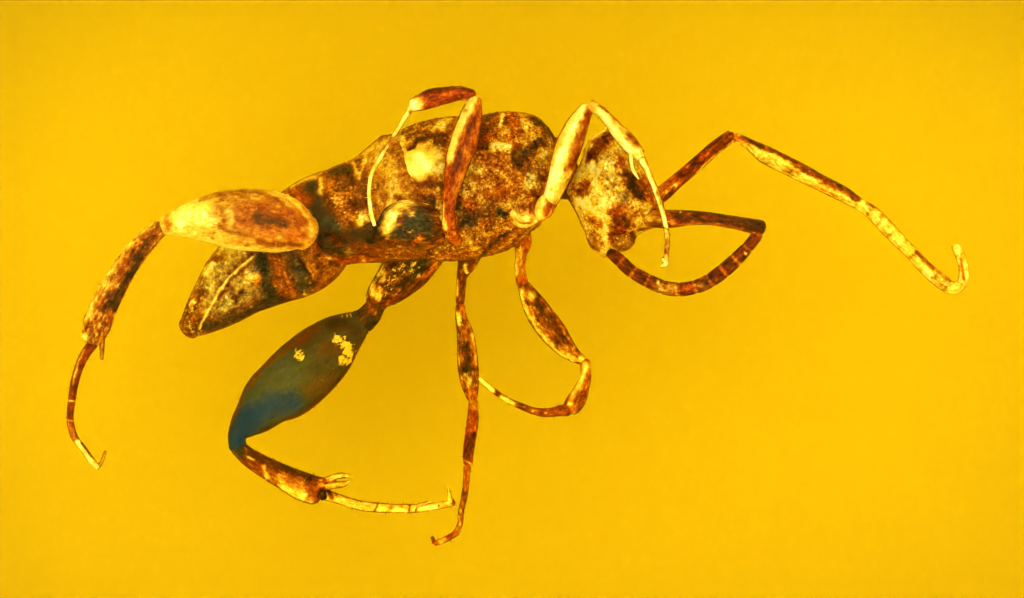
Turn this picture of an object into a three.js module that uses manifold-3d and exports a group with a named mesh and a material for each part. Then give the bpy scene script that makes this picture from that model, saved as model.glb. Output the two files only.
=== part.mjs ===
import * as THREE from 'three';
import { mergeVertices } from 'three/addons/utils/BufferGeometryUtils.js';
import Module from 'manifold-3d';

const wasm = await Module();
wasm.setup();

// A wingless wasp sealed in a polished slab of amber. All sizes are in millimetres.
// The slab lies on its flat base at z = 0, with +X along its length and +Z up.
// The insect lies on its side in the middle: its head is towards +X, its back towards +Y
// and its right side towards +Z, the polished window that it is looked at through.

// The slab of amber: its outline is a soft rectangle that one end draws in a little.
const SLAB_LENGTH = 15;
const SLAB_WIDTH = 10.4;
const SLAB_HEIGHT = 5;
const SLAB_POWER = 3.2;
const SLAB_TAPER = 0.035;
const SLAB_WOBBLE = 0.012;
const EDGE_ROUNDING = 0.9;
const EDGE_POWER = 2.3;
const EDGE_STEPS = 5;
const SLAB_SEGMENTS = 48;

// The pocket round the insect, half in each half of the slab.
const POCKET_CENTRE_X = 0.07;
const POCKET_CENTRE_Y = -0.17;
const POCKET_HALF_LENGTH = 5;
const POCKET_HALF_WIDTH = 2.85;
const POCKET_DEPTH = 1.3;
const POCKET_POWER = 3;
const POCKET_STEPS = 5;

// The halves of the slab meet here, level with the middle of the insect. It lies nearer the
// window than the base, as a polisher leaves it, and the slab is widest at this height.
const PARTING_HEIGHT = 3.25;

// How finely the insect's pieces are faceted, and how deep its body and legs are
// from side to side, as a share of the width that is seen from above.
const BODY_SIDES = 18;
const LIMB_SIDES = 8;
const FINE_SIDES = 6;
const GASTER_DEPTH = 0.82;
const THORAX_DEPTH = 0.76;
const HEAD_DEPTH = 0.88;
const FEMUR_DEPTH = 0.72;
const SHIN_DEPTH = 0.8;

// Rounded ends: how far the tip stands past the last station, and the ring before it.
const TIP_REACH = 0.34;
const RING_REACH = 0.2;
const RING_WIDTH = 0.72;

const AMBER_FINISH = new THREE.MeshStandardMaterial({
  color: 0xf0a000, roughness: 0.05, metalness: 0, transparent: true, opacity: 0.45,
});
const INSECT_FINISH = new THREE.MeshStandardMaterial({
  color: 0x6b3210, roughness: 0.35, metalness: 0.1,
});

// Each body piece and limb is a row of stations: x, y, z of its middle line and its width there.
// x and y are seen from above; z counts from the middle of the insect.
const GASTER = [
  [-1.07, 1.02, 0, 1.32], [-1.37, 0.91, 0, 1.12], [-1.66, 0.84, 0, 1.0], [-1.93, 0.75, 0, 0.96],
  [-2.15, 0.54, 0, 1.02], [-2.46, 0.37, 0, 0.92], [-2.72, 0.18, 0, 0.76], [-2.91, -0.03, 0, 0.56],
  [-3.08, -0.17, 0, 0.41], [-3.23, -0.29, 0, 0.24],
];
const THORAX = [
  [-1.14, 0.99, 0, 1.1], [-0.92, 1.05, 0, 1.36], [-0.62, 1.1, 0, 1.44], [-0.32, 1.13, 0, 1.4],
  [-0.07, 1.24, 0, 1.28], [0.17, 1.3, 0, 1.16], [0.36, 1.32, 0, 0.9], [0.46, 1.33, 0, 0.58],
];
const NECK = [[0.3, 1.17, 0, 0.34], [0.6, 1.13, 0, 0.28], [0.85, 1.12, 0, 0.34]];
const HEAD = [
  [1.0, 1.62, 0, 0.28], [0.99, 1.49, 0, 0.54], [1.02, 1.29, 0, 0.74], [1.01, 1.09, 0, 0.94],
  [1.05, 0.92, 0, 0.93], [1.05, 0.79, 0, 0.82], [0.99, 0.66, 0, 0.6], [0.98, 0.53, 0, 0.42],
];
const JAW = [[1.06, 0.66, 0.06, 0.3], [1.13, 0.57, 0.08, 0.24]];
const EYE_CENTRE = [1.01, 1.27, 0.29];
const EYE_RADII = [0.19, 0.27, 0.13];

const NEAR_HIND_LEG = {
  coxa: [
    [-0.72, 0.71, 0.3, 0.4], [-0.9, 0.71, 0.4, 0.5], [-1.12, 0.7, 0.46, 0.52],
    [-1.4, 0.63, 0.52, 0.4], [-1.67, 0.58, 0.56, 0.28], [-1.86, 0.56, 0.58, 0.2],
  ],
  femur: [
    [-1.94, 0.56, 0.58, 0.2], [-2.12, 0.68, 0.61, 0.46], [-2.27, 0.74, 0.62, 0.58],
    [-2.47, 0.78, 0.63, 0.62], [-2.72, 0.79, 0.62, 0.61], [-2.97, 0.8, 0.6, 0.52],
    [-3.22, 0.78, 0.56, 0.36], [-3.44, 0.74, 0.52, 0.22],
  ],
  tibia: [
    [-3.52, 0.7, 0.5, 0.18], [-3.62, 0.61, 0.49, 0.21], [-3.76, 0.45, 0.47, 0.23],
    [-3.9, 0.25, 0.45, 0.25], [-4.07, -0.07, 0.43, 0.28], [-4.14, -0.25, 0.42, 0.29],
    [-4.18, -0.38, 0.41, 0.24],
  ],
  tarsus: [
    [-4.18, -0.44, 0.4, 0.11], [-4.27, -0.57, 0.39, 0.1], [-4.33, -0.71, 0.38, 0.09],
    [-4.37, -0.86, 0.37, 0.085], [-4.39, -0.99, 0.36, 0.08], [-4.41, -1.16, 0.35, 0.07],
    [-4.4, -1.28, 0.34, 0.075], [-4.36, -1.39, 0.33, 0.07], [-4.27, -1.51, 0.32, 0.07],
    [-4.2, -1.61, 0.31, 0.07], [-4.14, -1.68, 0.3, 0.055],
  ],
  spurs: [
    [[-4.09, -0.36, 0.44, 0.06], [-4.09, -0.5, 0.44, 0.05], [-4.09, -0.6, 0.44, 0.03]],
    [[-4.14, -1.69, 0.3, 0.04], [-4.09, -1.61, 0.3, 0.035], [-4.06, -1.52, 0.3, 0.03]],
  ],
};
const NEAR_MIDDLE_LEG = {
  coxa: [[-0.48, 0.5, 0.28, 0.3], [-0.58, 0.58, 0.46, 0.26], [-0.62, 0.67, 0.58, 0.2]],
  femur: [
    [-0.63, 0.72, 0.61, 0.15], [-0.63, 0.91, 0.66, 0.13], [-0.6, 1.1, 0.69, 0.16],
    [-0.57, 1.25, 0.7, 0.22], [-0.53, 1.41, 0.71, 0.26], [-0.49, 1.53, 0.71, 0.28],
    [-0.44, 1.71, 0.71, 0.25], [-0.4, 1.86, 0.7, 0.21], [-0.37, 1.98, 0.69, 0.14],
  ],
  tibia: [
    [-0.4, 2.03, 0.69, 0.12], [-0.52, 2.05, 0.7, 0.14], [-0.65, 2.03, 0.71, 0.17],
    [-0.8, 2.0, 0.72, 0.19], [-0.9, 1.96, 0.73, 0.17], [-0.99, 1.93, 0.73, 0.13],
  ],
  tarsus: [
    [-1.01, 1.9, 0.73, 0.07], [-1.12, 1.72, 0.73, 0.05], [-1.2, 1.59, 0.73, 0.05],
    [-1.32, 1.39, 0.72, 0.055], [-1.39, 1.27, 0.71, 0.055], [-1.42, 1.14, 0.7, 0.055],
    [-1.42, 0.99, 0.69, 0.055], [-1.37, 0.74, 0.66, 0.05],
  ],
  spurs: [],
};
const NEAR_FRONT_LEG = {
  coxa: [
    [-0.04, 0.92, 0.26, 0.34], [0.12, 0.85, 0.36, 0.32], [0.26, 0.88, 0.42, 0.22],
    [0.34, 0.92, 0.45, 0.18],
  ],
  femur: [
    [0.39, 1.0, 0.47, 0.17], [0.47, 1.22, 0.51, 0.23], [0.52, 1.39, 0.53, 0.26],
    [0.57, 1.54, 0.55, 0.27], [0.66, 1.75, 0.56, 0.22], [0.74, 1.89, 0.56, 0.14],
  ],
  tibia: [
    [0.79, 1.92, 0.56, 0.12], [0.87, 1.88, 0.56, 0.11], [0.96, 1.79, 0.56, 0.12],
    [1.05, 1.68, 0.56, 0.15], [1.16, 1.56, 0.56, 0.17], [1.26, 1.44, 0.56, 0.14],
  ],
  tarsus: [
    [1.3, 1.38, 0.56, 0.08], [1.36, 1.25, 0.56, 0.065], [1.43, 1.09, 0.55, 0.065],
    [1.49, 0.91, 0.54, 0.065], [1.53, 0.74, 0.52, 0.06], [1.55, 0.59, 0.5, 0.06],
    [1.54, 0.45, 0.49, 0.06], [1.53, 0.35, 0.48, 0.07],
  ],
  spurs: [
    [[1.17, 1.42, 0.58, 0.05], [1.22, 1.31, 0.58, 0.045], [1.26, 1.22, 0.58, 0.03]],
    [[1.53, 0.34, 0.48, 0.045], [1.49, 0.33, 0.48, 0.04]],
    [[1.53, 0.37, 0.5, 0.045], [1.5, 0.4, 0.52, 0.035]],
  ],
};
const FAR_HIND_LEG = {
  coxa: [
    [-0.87, 0.55, -0.12, 0.5], [-1.04, 0.33, -0.28, 0.5], [-1.17, 0.18, -0.34, 0.42],
    [-1.31, 0.04, -0.38, 0.31], [-1.38, -0.08, -0.4, 0.2], [-1.46, -0.18, -0.42, 0.22],
  ],
  femur: [
    [-1.52, -0.23, -0.43, 0.26], [-1.6, -0.29, -0.44, 0.36], [-1.73, -0.39, -0.46, 0.5],
    [-1.88, -0.53, -0.48, 0.62], [-2.06, -0.7, -0.49, 0.67], [-2.25, -0.87, -0.49, 0.66],
    [-2.43, -1.0, -0.48, 0.57], [-2.57, -1.15, -0.47, 0.44], [-2.68, -1.27, -0.46, 0.29],
    [-2.74, -1.38, -0.45, 0.2],
  ],
  tibia: [
    [-2.75, -1.49, -0.45, 0.16], [-2.62, -1.6, -0.45, 0.19], [-2.45, -1.7, -0.45, 0.22],
    [-2.28, -1.79, -0.45, 0.25], [-2.12, -1.86, -0.45, 0.28], [-1.99, -1.91, -0.45, 0.26],
  ],
  tarsus: [
    [-1.88, -1.96, -0.45, 0.11], [-1.72, -2.01, -0.45, 0.1], [-1.6, -2.05, -0.45, 0.1],
    [-1.47, -2.08, -0.45, 0.1], [-1.34, -2.09, -0.45, 0.1], [-1.19, -2.1, -0.44, 0.09],
    [-1.02, -2.1, -0.43, 0.09], [-0.87, -2.09, -0.42, 0.08], [-0.72, -2.07, -0.41, 0.07],
    [-0.59, -2.04, -0.4, 0.07],
  ],
  spurs: [
    [[-1.95, -1.81, -0.4, 0.07], [-1.82, -1.785, -0.4, 0.06], [-1.62, -1.78, -0.4, 0.04]],
    [[-1.92, -1.88, -0.37, 0.07], [-1.77, -1.85, -0.37, 0.06], [-1.64, -1.83, -0.37, 0.04]],
    [[-0.65, -2.04, -0.4, 0.05], [-0.64, -1.95, -0.4, 0.04], [-0.64, -1.88, -0.4, 0.03]],
  ],
};
const FAR_MIDDLE_LEG = {
  coxa: [
    [-0.42, 0.5, -0.16, 0.3], [-0.45, 0.36, -0.28, 0.2], [-0.5, 0.23, -0.38, 0.11],
    [-0.51, 0.12, -0.42, 0.1], [-0.52, -0.03, -0.45, 0.09],
  ],
  femur: [
    [-0.52, -0.07, -0.465, 0.09], [-0.51, -0.19, -0.49, 0.12], [-0.47, -0.35, -0.51, 0.17],
    [-0.45, -0.53, -0.53, 0.2], [-0.44, -0.69, -0.54, 0.21], [-0.42, -0.86, -0.54, 0.18],
    [-0.4, -0.99, -0.54, 0.11],
  ],
  tibia: [
    [-0.39, -1.03, -0.54, 0.09], [-0.39, -1.14, -0.54, 0.11], [-0.4, -1.27, -0.54, 0.125],
    [-0.42, -1.41, -0.54, 0.12], [-0.44, -1.56, -0.54, 0.11], [-0.44, -1.64, -0.54, 0.1],
  ],
  tarsus: [
    [-0.45, -1.69, -0.54, 0.075], [-0.46, -1.85, -0.53, 0.065], [-0.48, -1.99, -0.52, 0.065],
    [-0.51, -2.13, -0.51, 0.06], [-0.52, -2.25, -0.5, 0.06], [-0.56, -2.34, -0.49, 0.065],
    [-0.63, -2.39, -0.48, 0.06], [-0.71, -2.43, -0.47, 0.06], [-0.77, -2.45, -0.46, 0.05],
  ],
  spurs: [[[-0.78, -2.44, -0.46, 0.045], [-0.8, -2.39, -0.46, 0.035]]],
};
const FAR_FRONT_LEG = {
  coxa: [
    [0.03, 0.74, -0.2, 0.26], [0.1, 0.57, -0.32, 0.2], [0.09, 0.45, -0.39, 0.12],
    [0.08, 0.3, -0.42, 0.11], [0.1, 0.17, -0.44, 0.12],
  ],
  femur: [
    [0.12, 0.13, -0.45, 0.13], [0.21, -0.04, -0.47, 0.23], [0.31, -0.2, -0.49, 0.27],
    [0.41, -0.33, -0.5, 0.27], [0.53, -0.48, -0.5, 0.21], [0.63, -0.57, -0.49, 0.14],
    [0.7, -0.61, -0.48, 0.1],
  ],
  tibia: [
    [0.73, -0.63, -0.475, 0.1], [0.74, -0.77, -0.46, 0.11], [0.7, -0.9, -0.45, 0.15],
    [0.65, -1.01, -0.44, 0.19], [0.59, -1.09, -0.43, 0.17],
  ],
  tarsus: [
    [0.55, -1.11, -0.42, 0.13], [0.43, -1.13, -0.41, 0.1], [0.33, -1.14, -0.4, 0.09],
    [0.21, -1.12, -0.39, 0.075], [0.08, -1.07, -0.38, 0.065], [-0.05, -1.01, -0.38, 0.055],
    [-0.17, -0.93, -0.37, 0.055], [-0.27, -0.85, -0.37, 0.05], [-0.32, -0.8, -0.37, 0.05],
  ],
  spurs: [],
};

const FAR_ANTENNA = {
  scape: [
    [1.38, 0.98, -0.1, 0.16], [1.5, 1.05, -0.18, 0.165], [1.66, 1.19, -0.22, 0.145],
    [1.86, 1.36, -0.26, 0.145], [2.04, 1.52, -0.29, 0.14], [2.19, 1.63, -0.3, 0.13],
  ],
  flagellum: [
    [2.23, 1.62, -0.3, 0.1], [2.36, 1.56, -0.3, 0.11], [2.53, 1.45, -0.3, 0.18],
    [2.71, 1.36, -0.3, 0.185], [2.91, 1.26, -0.3, 0.18], [3.1, 1.16, -0.29, 0.165],
    [3.3, 1.06, -0.28, 0.16], [3.46, 0.96, -0.27, 0.13], [3.6, 0.87, -0.26, 0.14],
    [3.74, 0.73, -0.25, 0.15], [3.87, 0.59, -0.24, 0.14], [4.01, 0.45, -0.23, 0.13],
    [4.14, 0.31, -0.22, 0.14], [4.28, 0.19, -0.2, 0.15], [4.41, 0.11, -0.18, 0.13],
    [4.51, 0.17, -0.16, 0.11], [4.52, 0.31, -0.14, 0.1], [4.48, 0.44, -0.12, 0.095],
    [4.44, 0.52, -0.1, 0.09],
  ],
};
const NEAR_ANTENNA = {
  scape: [
    [1.3, 0.82, 0.16, 0.16], [1.44, 0.8, 0.27, 0.18], [1.6, 0.8, 0.34, 0.18],
    [1.78, 0.81, 0.37, 0.15], [1.98, 0.8, 0.4, 0.13], [2.18, 0.77, 0.42, 0.13],
    [2.36, 0.735, 0.44, 0.145], [2.48, 0.71, 0.44, 0.16],
  ],
  flagellum: [
    [2.45, 0.64, 0.44, 0.12], [2.37, 0.54, 0.44, 0.12], [2.26, 0.42, 0.43, 0.14],
    [2.12, 0.29, 0.42, 0.15], [1.93, 0.16, 0.4, 0.145], [1.73, 0.1, 0.38, 0.14],
    [1.54, 0.11, 0.36, 0.14], [1.36, 0.18, 0.35, 0.14], [1.19, 0.28, 0.34, 0.13],
    [1.06, 0.4, 0.34, 0.13], [0.98, 0.46, 0.34, 0.1],
  ],
};

// A closed geometry as a solid: shared vertices are merged and faces without area are dropped.
function solidFrom(geometry) {
  geometry.deleteAttribute('normal');
  geometry.deleteAttribute('uv');
  const merged = mergeVertices(geometry, 1e-4);
  const corners = merged.index.array;
  const kept = [];
  for (let i = 0; i < corners.length; i += 3) {
    const [a, b, c] = [corners[i], corners[i + 1], corners[i + 2]];
    if (a !== b && b !== c && c !== a) kept.push(a, b, c);
  }
  return new wasm.Manifold(new wasm.Mesh({
    numProp: 3,
    vertProperties: new Float32Array(merged.attributes.position.array),
    triVerts: new Uint32Array(kept),
  }));
}

function geometryFrom(solid) {
  const { vertProperties, triVerts } = solid.getMesh();
  const geometry = new THREE.BufferGeometry();
  geometry.setAttribute('position', new THREE.BufferAttribute(new Float32Array(vertProperties), 3));
  geometry.setIndex(new THREE.BufferAttribute(new Uint32Array(triVerts), 1));
  geometry.computeVertexNormals();
  return geometry;
}

function fuse(solids) {
  return solids.reduce((whole, piece) => whole.add(piece));
}

// A ring and a tip past one end of a row of stations, so that the piece ends in a small dome.
function domeStations(end, next) {
  const tip = new THREE.Vector3(...end.slice(0, 3));
  const outward = tip.clone().sub(new THREE.Vector3(...next.slice(0, 3))).normalize();
  const width = end[3];
  const ring = tip.clone().addScaledVector(outward, width * RING_REACH);
  tip.addScaledVector(outward, width * TIP_REACH);
  return [[...ring.toArray(), width * RING_WIDTH], [...tip.toArray(), 0]];
}

// A limb or body piece: a turned profile of the stations' widths, made oval by depth and
// bent along the smooth line through their middles.
function limb(stations, depth, sides) {
  const count = stations.length;
  const foot = domeStations(stations[0], stations[1]).reverse();
  const tip = domeStations(stations[count - 1], stations[count - 2]);
  const rows = [...foot, ...stations, ...tip];
  const last = rows.length - 1;
  const path = new THREE.CatmullRomCurve3(rows.map(([x, y, z]) => new THREE.Vector3(x, y, z)));
  const profile = rows.map(([, , , width], row) => new THREE.Vector2(width / 2, row / last));
  const geometry = new THREE.LatheGeometry(profile, sides);
  const position = geometry.attributes.position;
  const across = new THREE.Vector3();
  const up = new THREE.Vector3();
  for (let i = 0; i < position.count; i += 1) {
    const along = position.getY(i);
    const forward = path.getTangent(along);
    across.set(forward.y, -forward.x, 0).normalize();
    up.crossVectors(across, forward);
    const point = path.getPoint(along)
      .addScaledVector(across, position.getX(i))
      .addScaledVector(up, position.getZ(i) * depth);
    position.setXYZ(i, point.x, point.y, point.z);
  }
  return solidFrom(geometry);
}

function legOf(leg) {
  return fuse([
    limb(leg.coxa, FEMUR_DEPTH, LIMB_SIDES),
    limb(leg.femur, FEMUR_DEPTH, LIMB_SIDES),
    limb(leg.tibia, SHIN_DEPTH, LIMB_SIDES),
    limb(leg.tarsus, 1, FINE_SIDES),
    ...leg.spurs.map((spur) => limb(spur, 1, FINE_SIDES)),
  ]);
}

function antennaOf(antenna) {
  return fuse([
    limb(antenna.scape, 1, LIMB_SIDES),
    limb(antenna.flagellum, 1, LIMB_SIDES),
  ]);
}

// The compound eye stands a little out of the side of the head.
function eyeOf(side) {
  const [x, y, z] = EYE_CENTRE;
  const eye = new THREE.SphereGeometry(1, 16, 10);
  eye.scale(...EYE_RADII);
  eye.translate(x, y, z * side);
  return solidFrom(eye);
}

function insectSolid() {
  return fuse([
    limb(GASTER, GASTER_DEPTH, BODY_SIDES),
    limb(THORAX, THORAX_DEPTH, BODY_SIDES),
    limb(NECK, 1, LIMB_SIDES),
    limb(HEAD, HEAD_DEPTH, BODY_SIDES),
    limb(JAW, 1, LIMB_SIDES),
    eyeOf(1),
    eyeOf(-1),
    antennaOf(FAR_ANTENNA),
    antennaOf(NEAR_ANTENNA),
    legOf(FAR_HIND_LEG),
    legOf(FAR_MIDDLE_LEG),
    legOf(FAR_FRONT_LEG),
    legOf(NEAR_HIND_LEG),
    legOf(NEAR_MIDDLE_LEG),
    legOf(NEAR_FRONT_LEG),
  ]);
}

// Distance from the middle to a soft rectangle in the direction of an angle.
function softRectangle(angle, halfLength, halfWidth, power) {
  const x = Math.abs(Math.cos(angle)) / halfLength;
  const y = Math.abs(Math.sin(angle)) / halfWidth;
  return (x ** power + y ** power) ** (-1 / power);
}

// The slab's outline, inset by a distance: hand polishing leaves it a little uneven.
function slabPoint(angle, inset) {
  const reach = softRectangle(angle, SLAB_LENGTH / 2 - inset, SLAB_WIDTH / 2 - inset, SLAB_POWER);
  const uneven = 1 + SLAB_WOBBLE * Math.sin(3 * angle + 0.7);
  const x = reach * uneven * Math.cos(angle);
  const draw = 1 - SLAB_TAPER * (x / SLAB_LENGTH + 0.5);
  return [x, reach * uneven * draw * Math.sin(angle)];
}

function pocketPoint(angle, share) {
  const reach = share * softRectangle(angle, POCKET_HALF_LENGTH, POCKET_HALF_WIDTH, POCKET_POWER);
  return [POCKET_CENTRE_X + reach * Math.cos(angle), POCKET_CENTRE_Y + reach * Math.sin(angle)];
}

// The rows of a half's profile, from the middle of its flat face round the rounded edge to
// the parting plane, and over the pocket back to the middle. Height counts from the parting.
function halfRows(thickness) {
  const rows = [{ place: () => [0, 0], height: thickness }];
  for (let step = 0; step <= EDGE_STEPS; step += 1) {
    const turn = (step / EDGE_STEPS) * Math.PI / 2;
    const inset = EDGE_ROUNDING * (1 - Math.sin(turn) ** (2 / EDGE_POWER));
    const height = step < EDGE_STEPS ? thickness * Math.cos(turn) ** (2 / EDGE_POWER) : 0;
    rows.push({ place: (angle) => slabPoint(angle, inset), height });
  }
  for (let step = 0; step < POCKET_STEPS; step += 1) {
    const turn = (step / POCKET_STEPS) * Math.PI / 2;
    rows.push({
      place: (angle) => pocketPoint(angle, Math.cos(turn)),
      height: POCKET_DEPTH * Math.sin(turn) ** (2 / EDGE_POWER),
    });
  }
  rows.push({ place: () => [POCKET_CENTRE_X, POCKET_CENTRE_Y], height: POCKET_DEPTH });
  return rows;
}

// One half of the slab: side is 1 above the parting plane and -1 below it.
function amberHalf(side) {
  const rows = halfRows(side > 0 ? SLAB_HEIGHT - PARTING_HEIGHT : PARTING_HEIGHT);
  const last = rows.length - 1;
  const profile = rows.map((_, row) => new THREE.Vector2(row === 0 || row === last ? 0 : 1, row));
  const geometry = new THREE.LatheGeometry(profile, SLAB_SEGMENTS);
  const position = geometry.attributes.position;
  for (let i = 0; i < position.count; i += 1) {
    const turn = Math.floor(i / rows.length) % SLAB_SEGMENTS;
    const angle = -side * (turn / SLAB_SEGMENTS) * 2 * Math.PI;
    const row = rows[Math.round(position.getY(i))];
    const [x, y] = row.place(angle);
    position.setXYZ(i, x, y, PARTING_HEIGHT + side * row.height);
  }
  return solidFrom(geometry);
}

function centred(geometry, centre) {
  return geometry.translate(-centre.x, -centre.y, 0);
}

const lower = geometryFrom(amberHalf(-1));
const upper = geometryFrom(amberHalf(1));
lower.computeBoundingBox();
const slabCentre = lower.boundingBox.getCenter(new THREE.Vector3());

const amberLower = new THREE.Mesh(centred(lower, slabCentre), AMBER_FINISH);
amberLower.name = 'amber_lower';
const amberUpper = new THREE.Mesh(centred(upper, slabCentre), AMBER_FINISH);
amberUpper.name = 'amber_upper';
const insect = new THREE.Mesh(geometryFrom(insectSolid()), INSECT_FINISH);
insect.name = 'insect';
insect.position.z = PARTING_HEIGHT;

const insectInAmber = new THREE.Group();
insectInAmber.add(amberLower, amberUpper, insect);

export default insectInAmber;
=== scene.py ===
"""A wingless wasp sealed in a polished slab of clear amber, seen through its window from straight above.

The insect's stations and paint are in millimetres in the slab's frame: +X towards its head, +Y towards
its back, and z counted from the middle of its body. Meshes are written in metres.
"""
import math

import bmesh
import bpy
import numpy as np
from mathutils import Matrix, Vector, noise


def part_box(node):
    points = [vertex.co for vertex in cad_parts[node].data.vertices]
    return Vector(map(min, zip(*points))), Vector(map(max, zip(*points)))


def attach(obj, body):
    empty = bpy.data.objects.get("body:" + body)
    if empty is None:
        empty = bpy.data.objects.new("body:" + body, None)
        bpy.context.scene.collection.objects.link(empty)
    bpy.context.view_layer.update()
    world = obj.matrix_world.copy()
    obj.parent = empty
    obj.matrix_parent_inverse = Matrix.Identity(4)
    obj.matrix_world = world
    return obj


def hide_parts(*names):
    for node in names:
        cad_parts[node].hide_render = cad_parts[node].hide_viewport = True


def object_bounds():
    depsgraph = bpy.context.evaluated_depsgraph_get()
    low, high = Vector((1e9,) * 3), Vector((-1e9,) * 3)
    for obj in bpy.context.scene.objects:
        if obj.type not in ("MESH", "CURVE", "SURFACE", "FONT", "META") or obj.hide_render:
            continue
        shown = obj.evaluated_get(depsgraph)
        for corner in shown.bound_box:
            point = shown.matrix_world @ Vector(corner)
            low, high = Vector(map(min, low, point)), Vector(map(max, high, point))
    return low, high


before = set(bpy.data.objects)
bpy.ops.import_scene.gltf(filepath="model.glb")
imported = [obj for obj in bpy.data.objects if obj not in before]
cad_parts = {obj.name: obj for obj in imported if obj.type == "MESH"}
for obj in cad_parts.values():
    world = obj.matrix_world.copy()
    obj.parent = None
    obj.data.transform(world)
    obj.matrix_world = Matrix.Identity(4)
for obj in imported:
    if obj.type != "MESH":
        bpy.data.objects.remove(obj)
cad_low, cad_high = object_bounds()

MM = 0.001

# The slab, as the CAD has it.
SLAB_LENGTH = 15.0
SLAB_WIDTH = 10.4
SLAB_POWER = 3.2
SLAB_TAPER = 0.035
SLAB_WOBBLE = 0.012
SLAB_WOBBLE_TURN = 0.7
EDGE_ROUNDING = 0.9
EDGE_POWER = 2.3
FLAT_MARGIN = 0.04
SLAB_HEIGHT = cad_high.z / MM
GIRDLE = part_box("amber_lower")[1].z / MM

# Amber: how much it bends light, how much of it a metre takes up, and the colour that it lets through.
AMBER_IOR = 1.54
AMBER_DENSITY = 580.0
AMBER_CLEAR = (0.9995, 0.907, 0.0)

# The photograph: its frame in pixels and its scale on the insect, and the lens and sensor that repeat it.
FRAME_WIDTH_PX = 1024
PX_PER_MM = 100.0
LENS_MM = 400.0
SENSOR_MM = 36.0

# The cuticle's noise: patches, fine grain, stains and the flakes of painted gold glint, by size in
# millimetres.
PATCH_SIZE = 0.09
FINE_SIZE = 0.03
STAIN_SIZE = 0.12
FLAKE_SIZE = 0.04

# Its round dots, by size and by the share of cells that hold one, and their radius and edge in cells.
BRIGHT_DOTS = (0.05, 0.45)
DARK_DOTS = (0.06, 0.3)
DOT_LEAST = 0.16
DOT_SWING = 0.3
DOT_EDGE = 7.0

# How far patches, fine grain and round dots swing the cuticle's tone, and stains its hue.
PATCH_CONTRAST = 1.4
FINE_CONTRAST = 1.9
DOT_CONTRAST = 0.3
HUE_CONTRAST = 2.4

# Painted glints in gold flakes: how high flakes have to stand to show, how much paint lowers that, their edge
# and their tone.
GLINT_BAR = 0.8
GLINT_REACH = 0.45
GLINT_EDGE = 14.0
GLINT_TONE = 0.78

# How high dots and the painted glint flakes stand in the relief, against the fine grain's 1.
DOT_HEIGHT = 0.35
GLINT_HEIGHT = 0.2

# The tone above which cuticle starts to shine, and how soon it is fully glossy.
GLOSS_START = 0.6
GLOSS_GAIN = 2.5

# How much shorter a pattern reads along a limb than across it, which draws it out into fibres.
FIBRE = 0.55

# How far apart the segments of a limb read the pattern, so that no two look alike.
PATTERN_STEP = 2.3

# Meshes: how far apart the rings lie in millimetres, how many points a body's rings have, the fewest
# rings to a station, the steps to a ring that measure the middle line, and how far a domed end bulges.
BODY_SPACING = 0.013
LIMB_SPACING = 0.01
BODY_AROUND = 220
LEAST_RINGS = 4
FINE_STEPS = 20
DOME_REACH = 0.34

# A brush stroke's edge: its waves' sizes, how far they swing it, and how much softer it is than its row says.
DRIFT_COARSE = 0.09
DRIFT_FINE = 0.035
DRIFT_GAIN = 1.6
DRIFT_LIMIT = 0.3
SOFTER = 1.5

# The hue of the painted shade, a thin dark line along a shape's two sides where it turns away from view.
EDGE_SHADE_HUE = 0.2

# How far apart two seeds read the noise, along x, y and z.
SEED_STEP = (7.1, 3.3, 5.7)


def catmull(rows, at):
    """A smooth line through rows of numbers, read at places counted in rows."""
    rows = np.asarray(rows, float)
    last = len(rows) - 1
    base = np.clip(np.floor(at).astype(int), 0, last - 1)
    t = (np.asarray(at, float) - base)[:, None]
    before = rows[np.maximum(base - 1, 0)]
    start = rows[base]
    end = rows[base + 1]
    after = rows[np.minimum(base + 2, last)]
    return 0.5 * (
        2 * start
        + (end - before) * t
        + (2 * before - 5 * start + 4 * end - after) * t**2
        + (3 * start - before - 3 * end + after) * t**3
    )


def smooth(low, high, value):
    t = np.clip((value - low) / (high - low), 0, 1)
    return t * t * (3 - 2 * t)


def unit(rows):
    return rows / np.maximum(np.linalg.norm(rows, axis=-1, keepdims=True), 1e-12)


def ripple(points, size, seed):
    """Smooth noise from about -0.5 to 0.5 at points, in waves of about that size."""
    shift = Vector([seed * step for step in SEED_STEP])
    return np.array([noise.noise(Vector(p) / size + shift) for p in points]) * 0.9


def tube_faces(rows, around):
    """The faces of a closed tube of rings: the quads between them, then its two flat ends."""
    row, turn = np.meshgrid(np.arange(rows - 1), np.arange(around), indexing="ij")
    a = row * around + turn
    b = row * around + (turn + 1) % around
    quads = np.stack([a, b, b + around, a + around], axis=-1).reshape(-1, 4)
    first = list(range(around))[::-1]
    last = [(rows - 1) * around + k for k in range(around)]
    return [*quads.tolist(), first, last]


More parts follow.
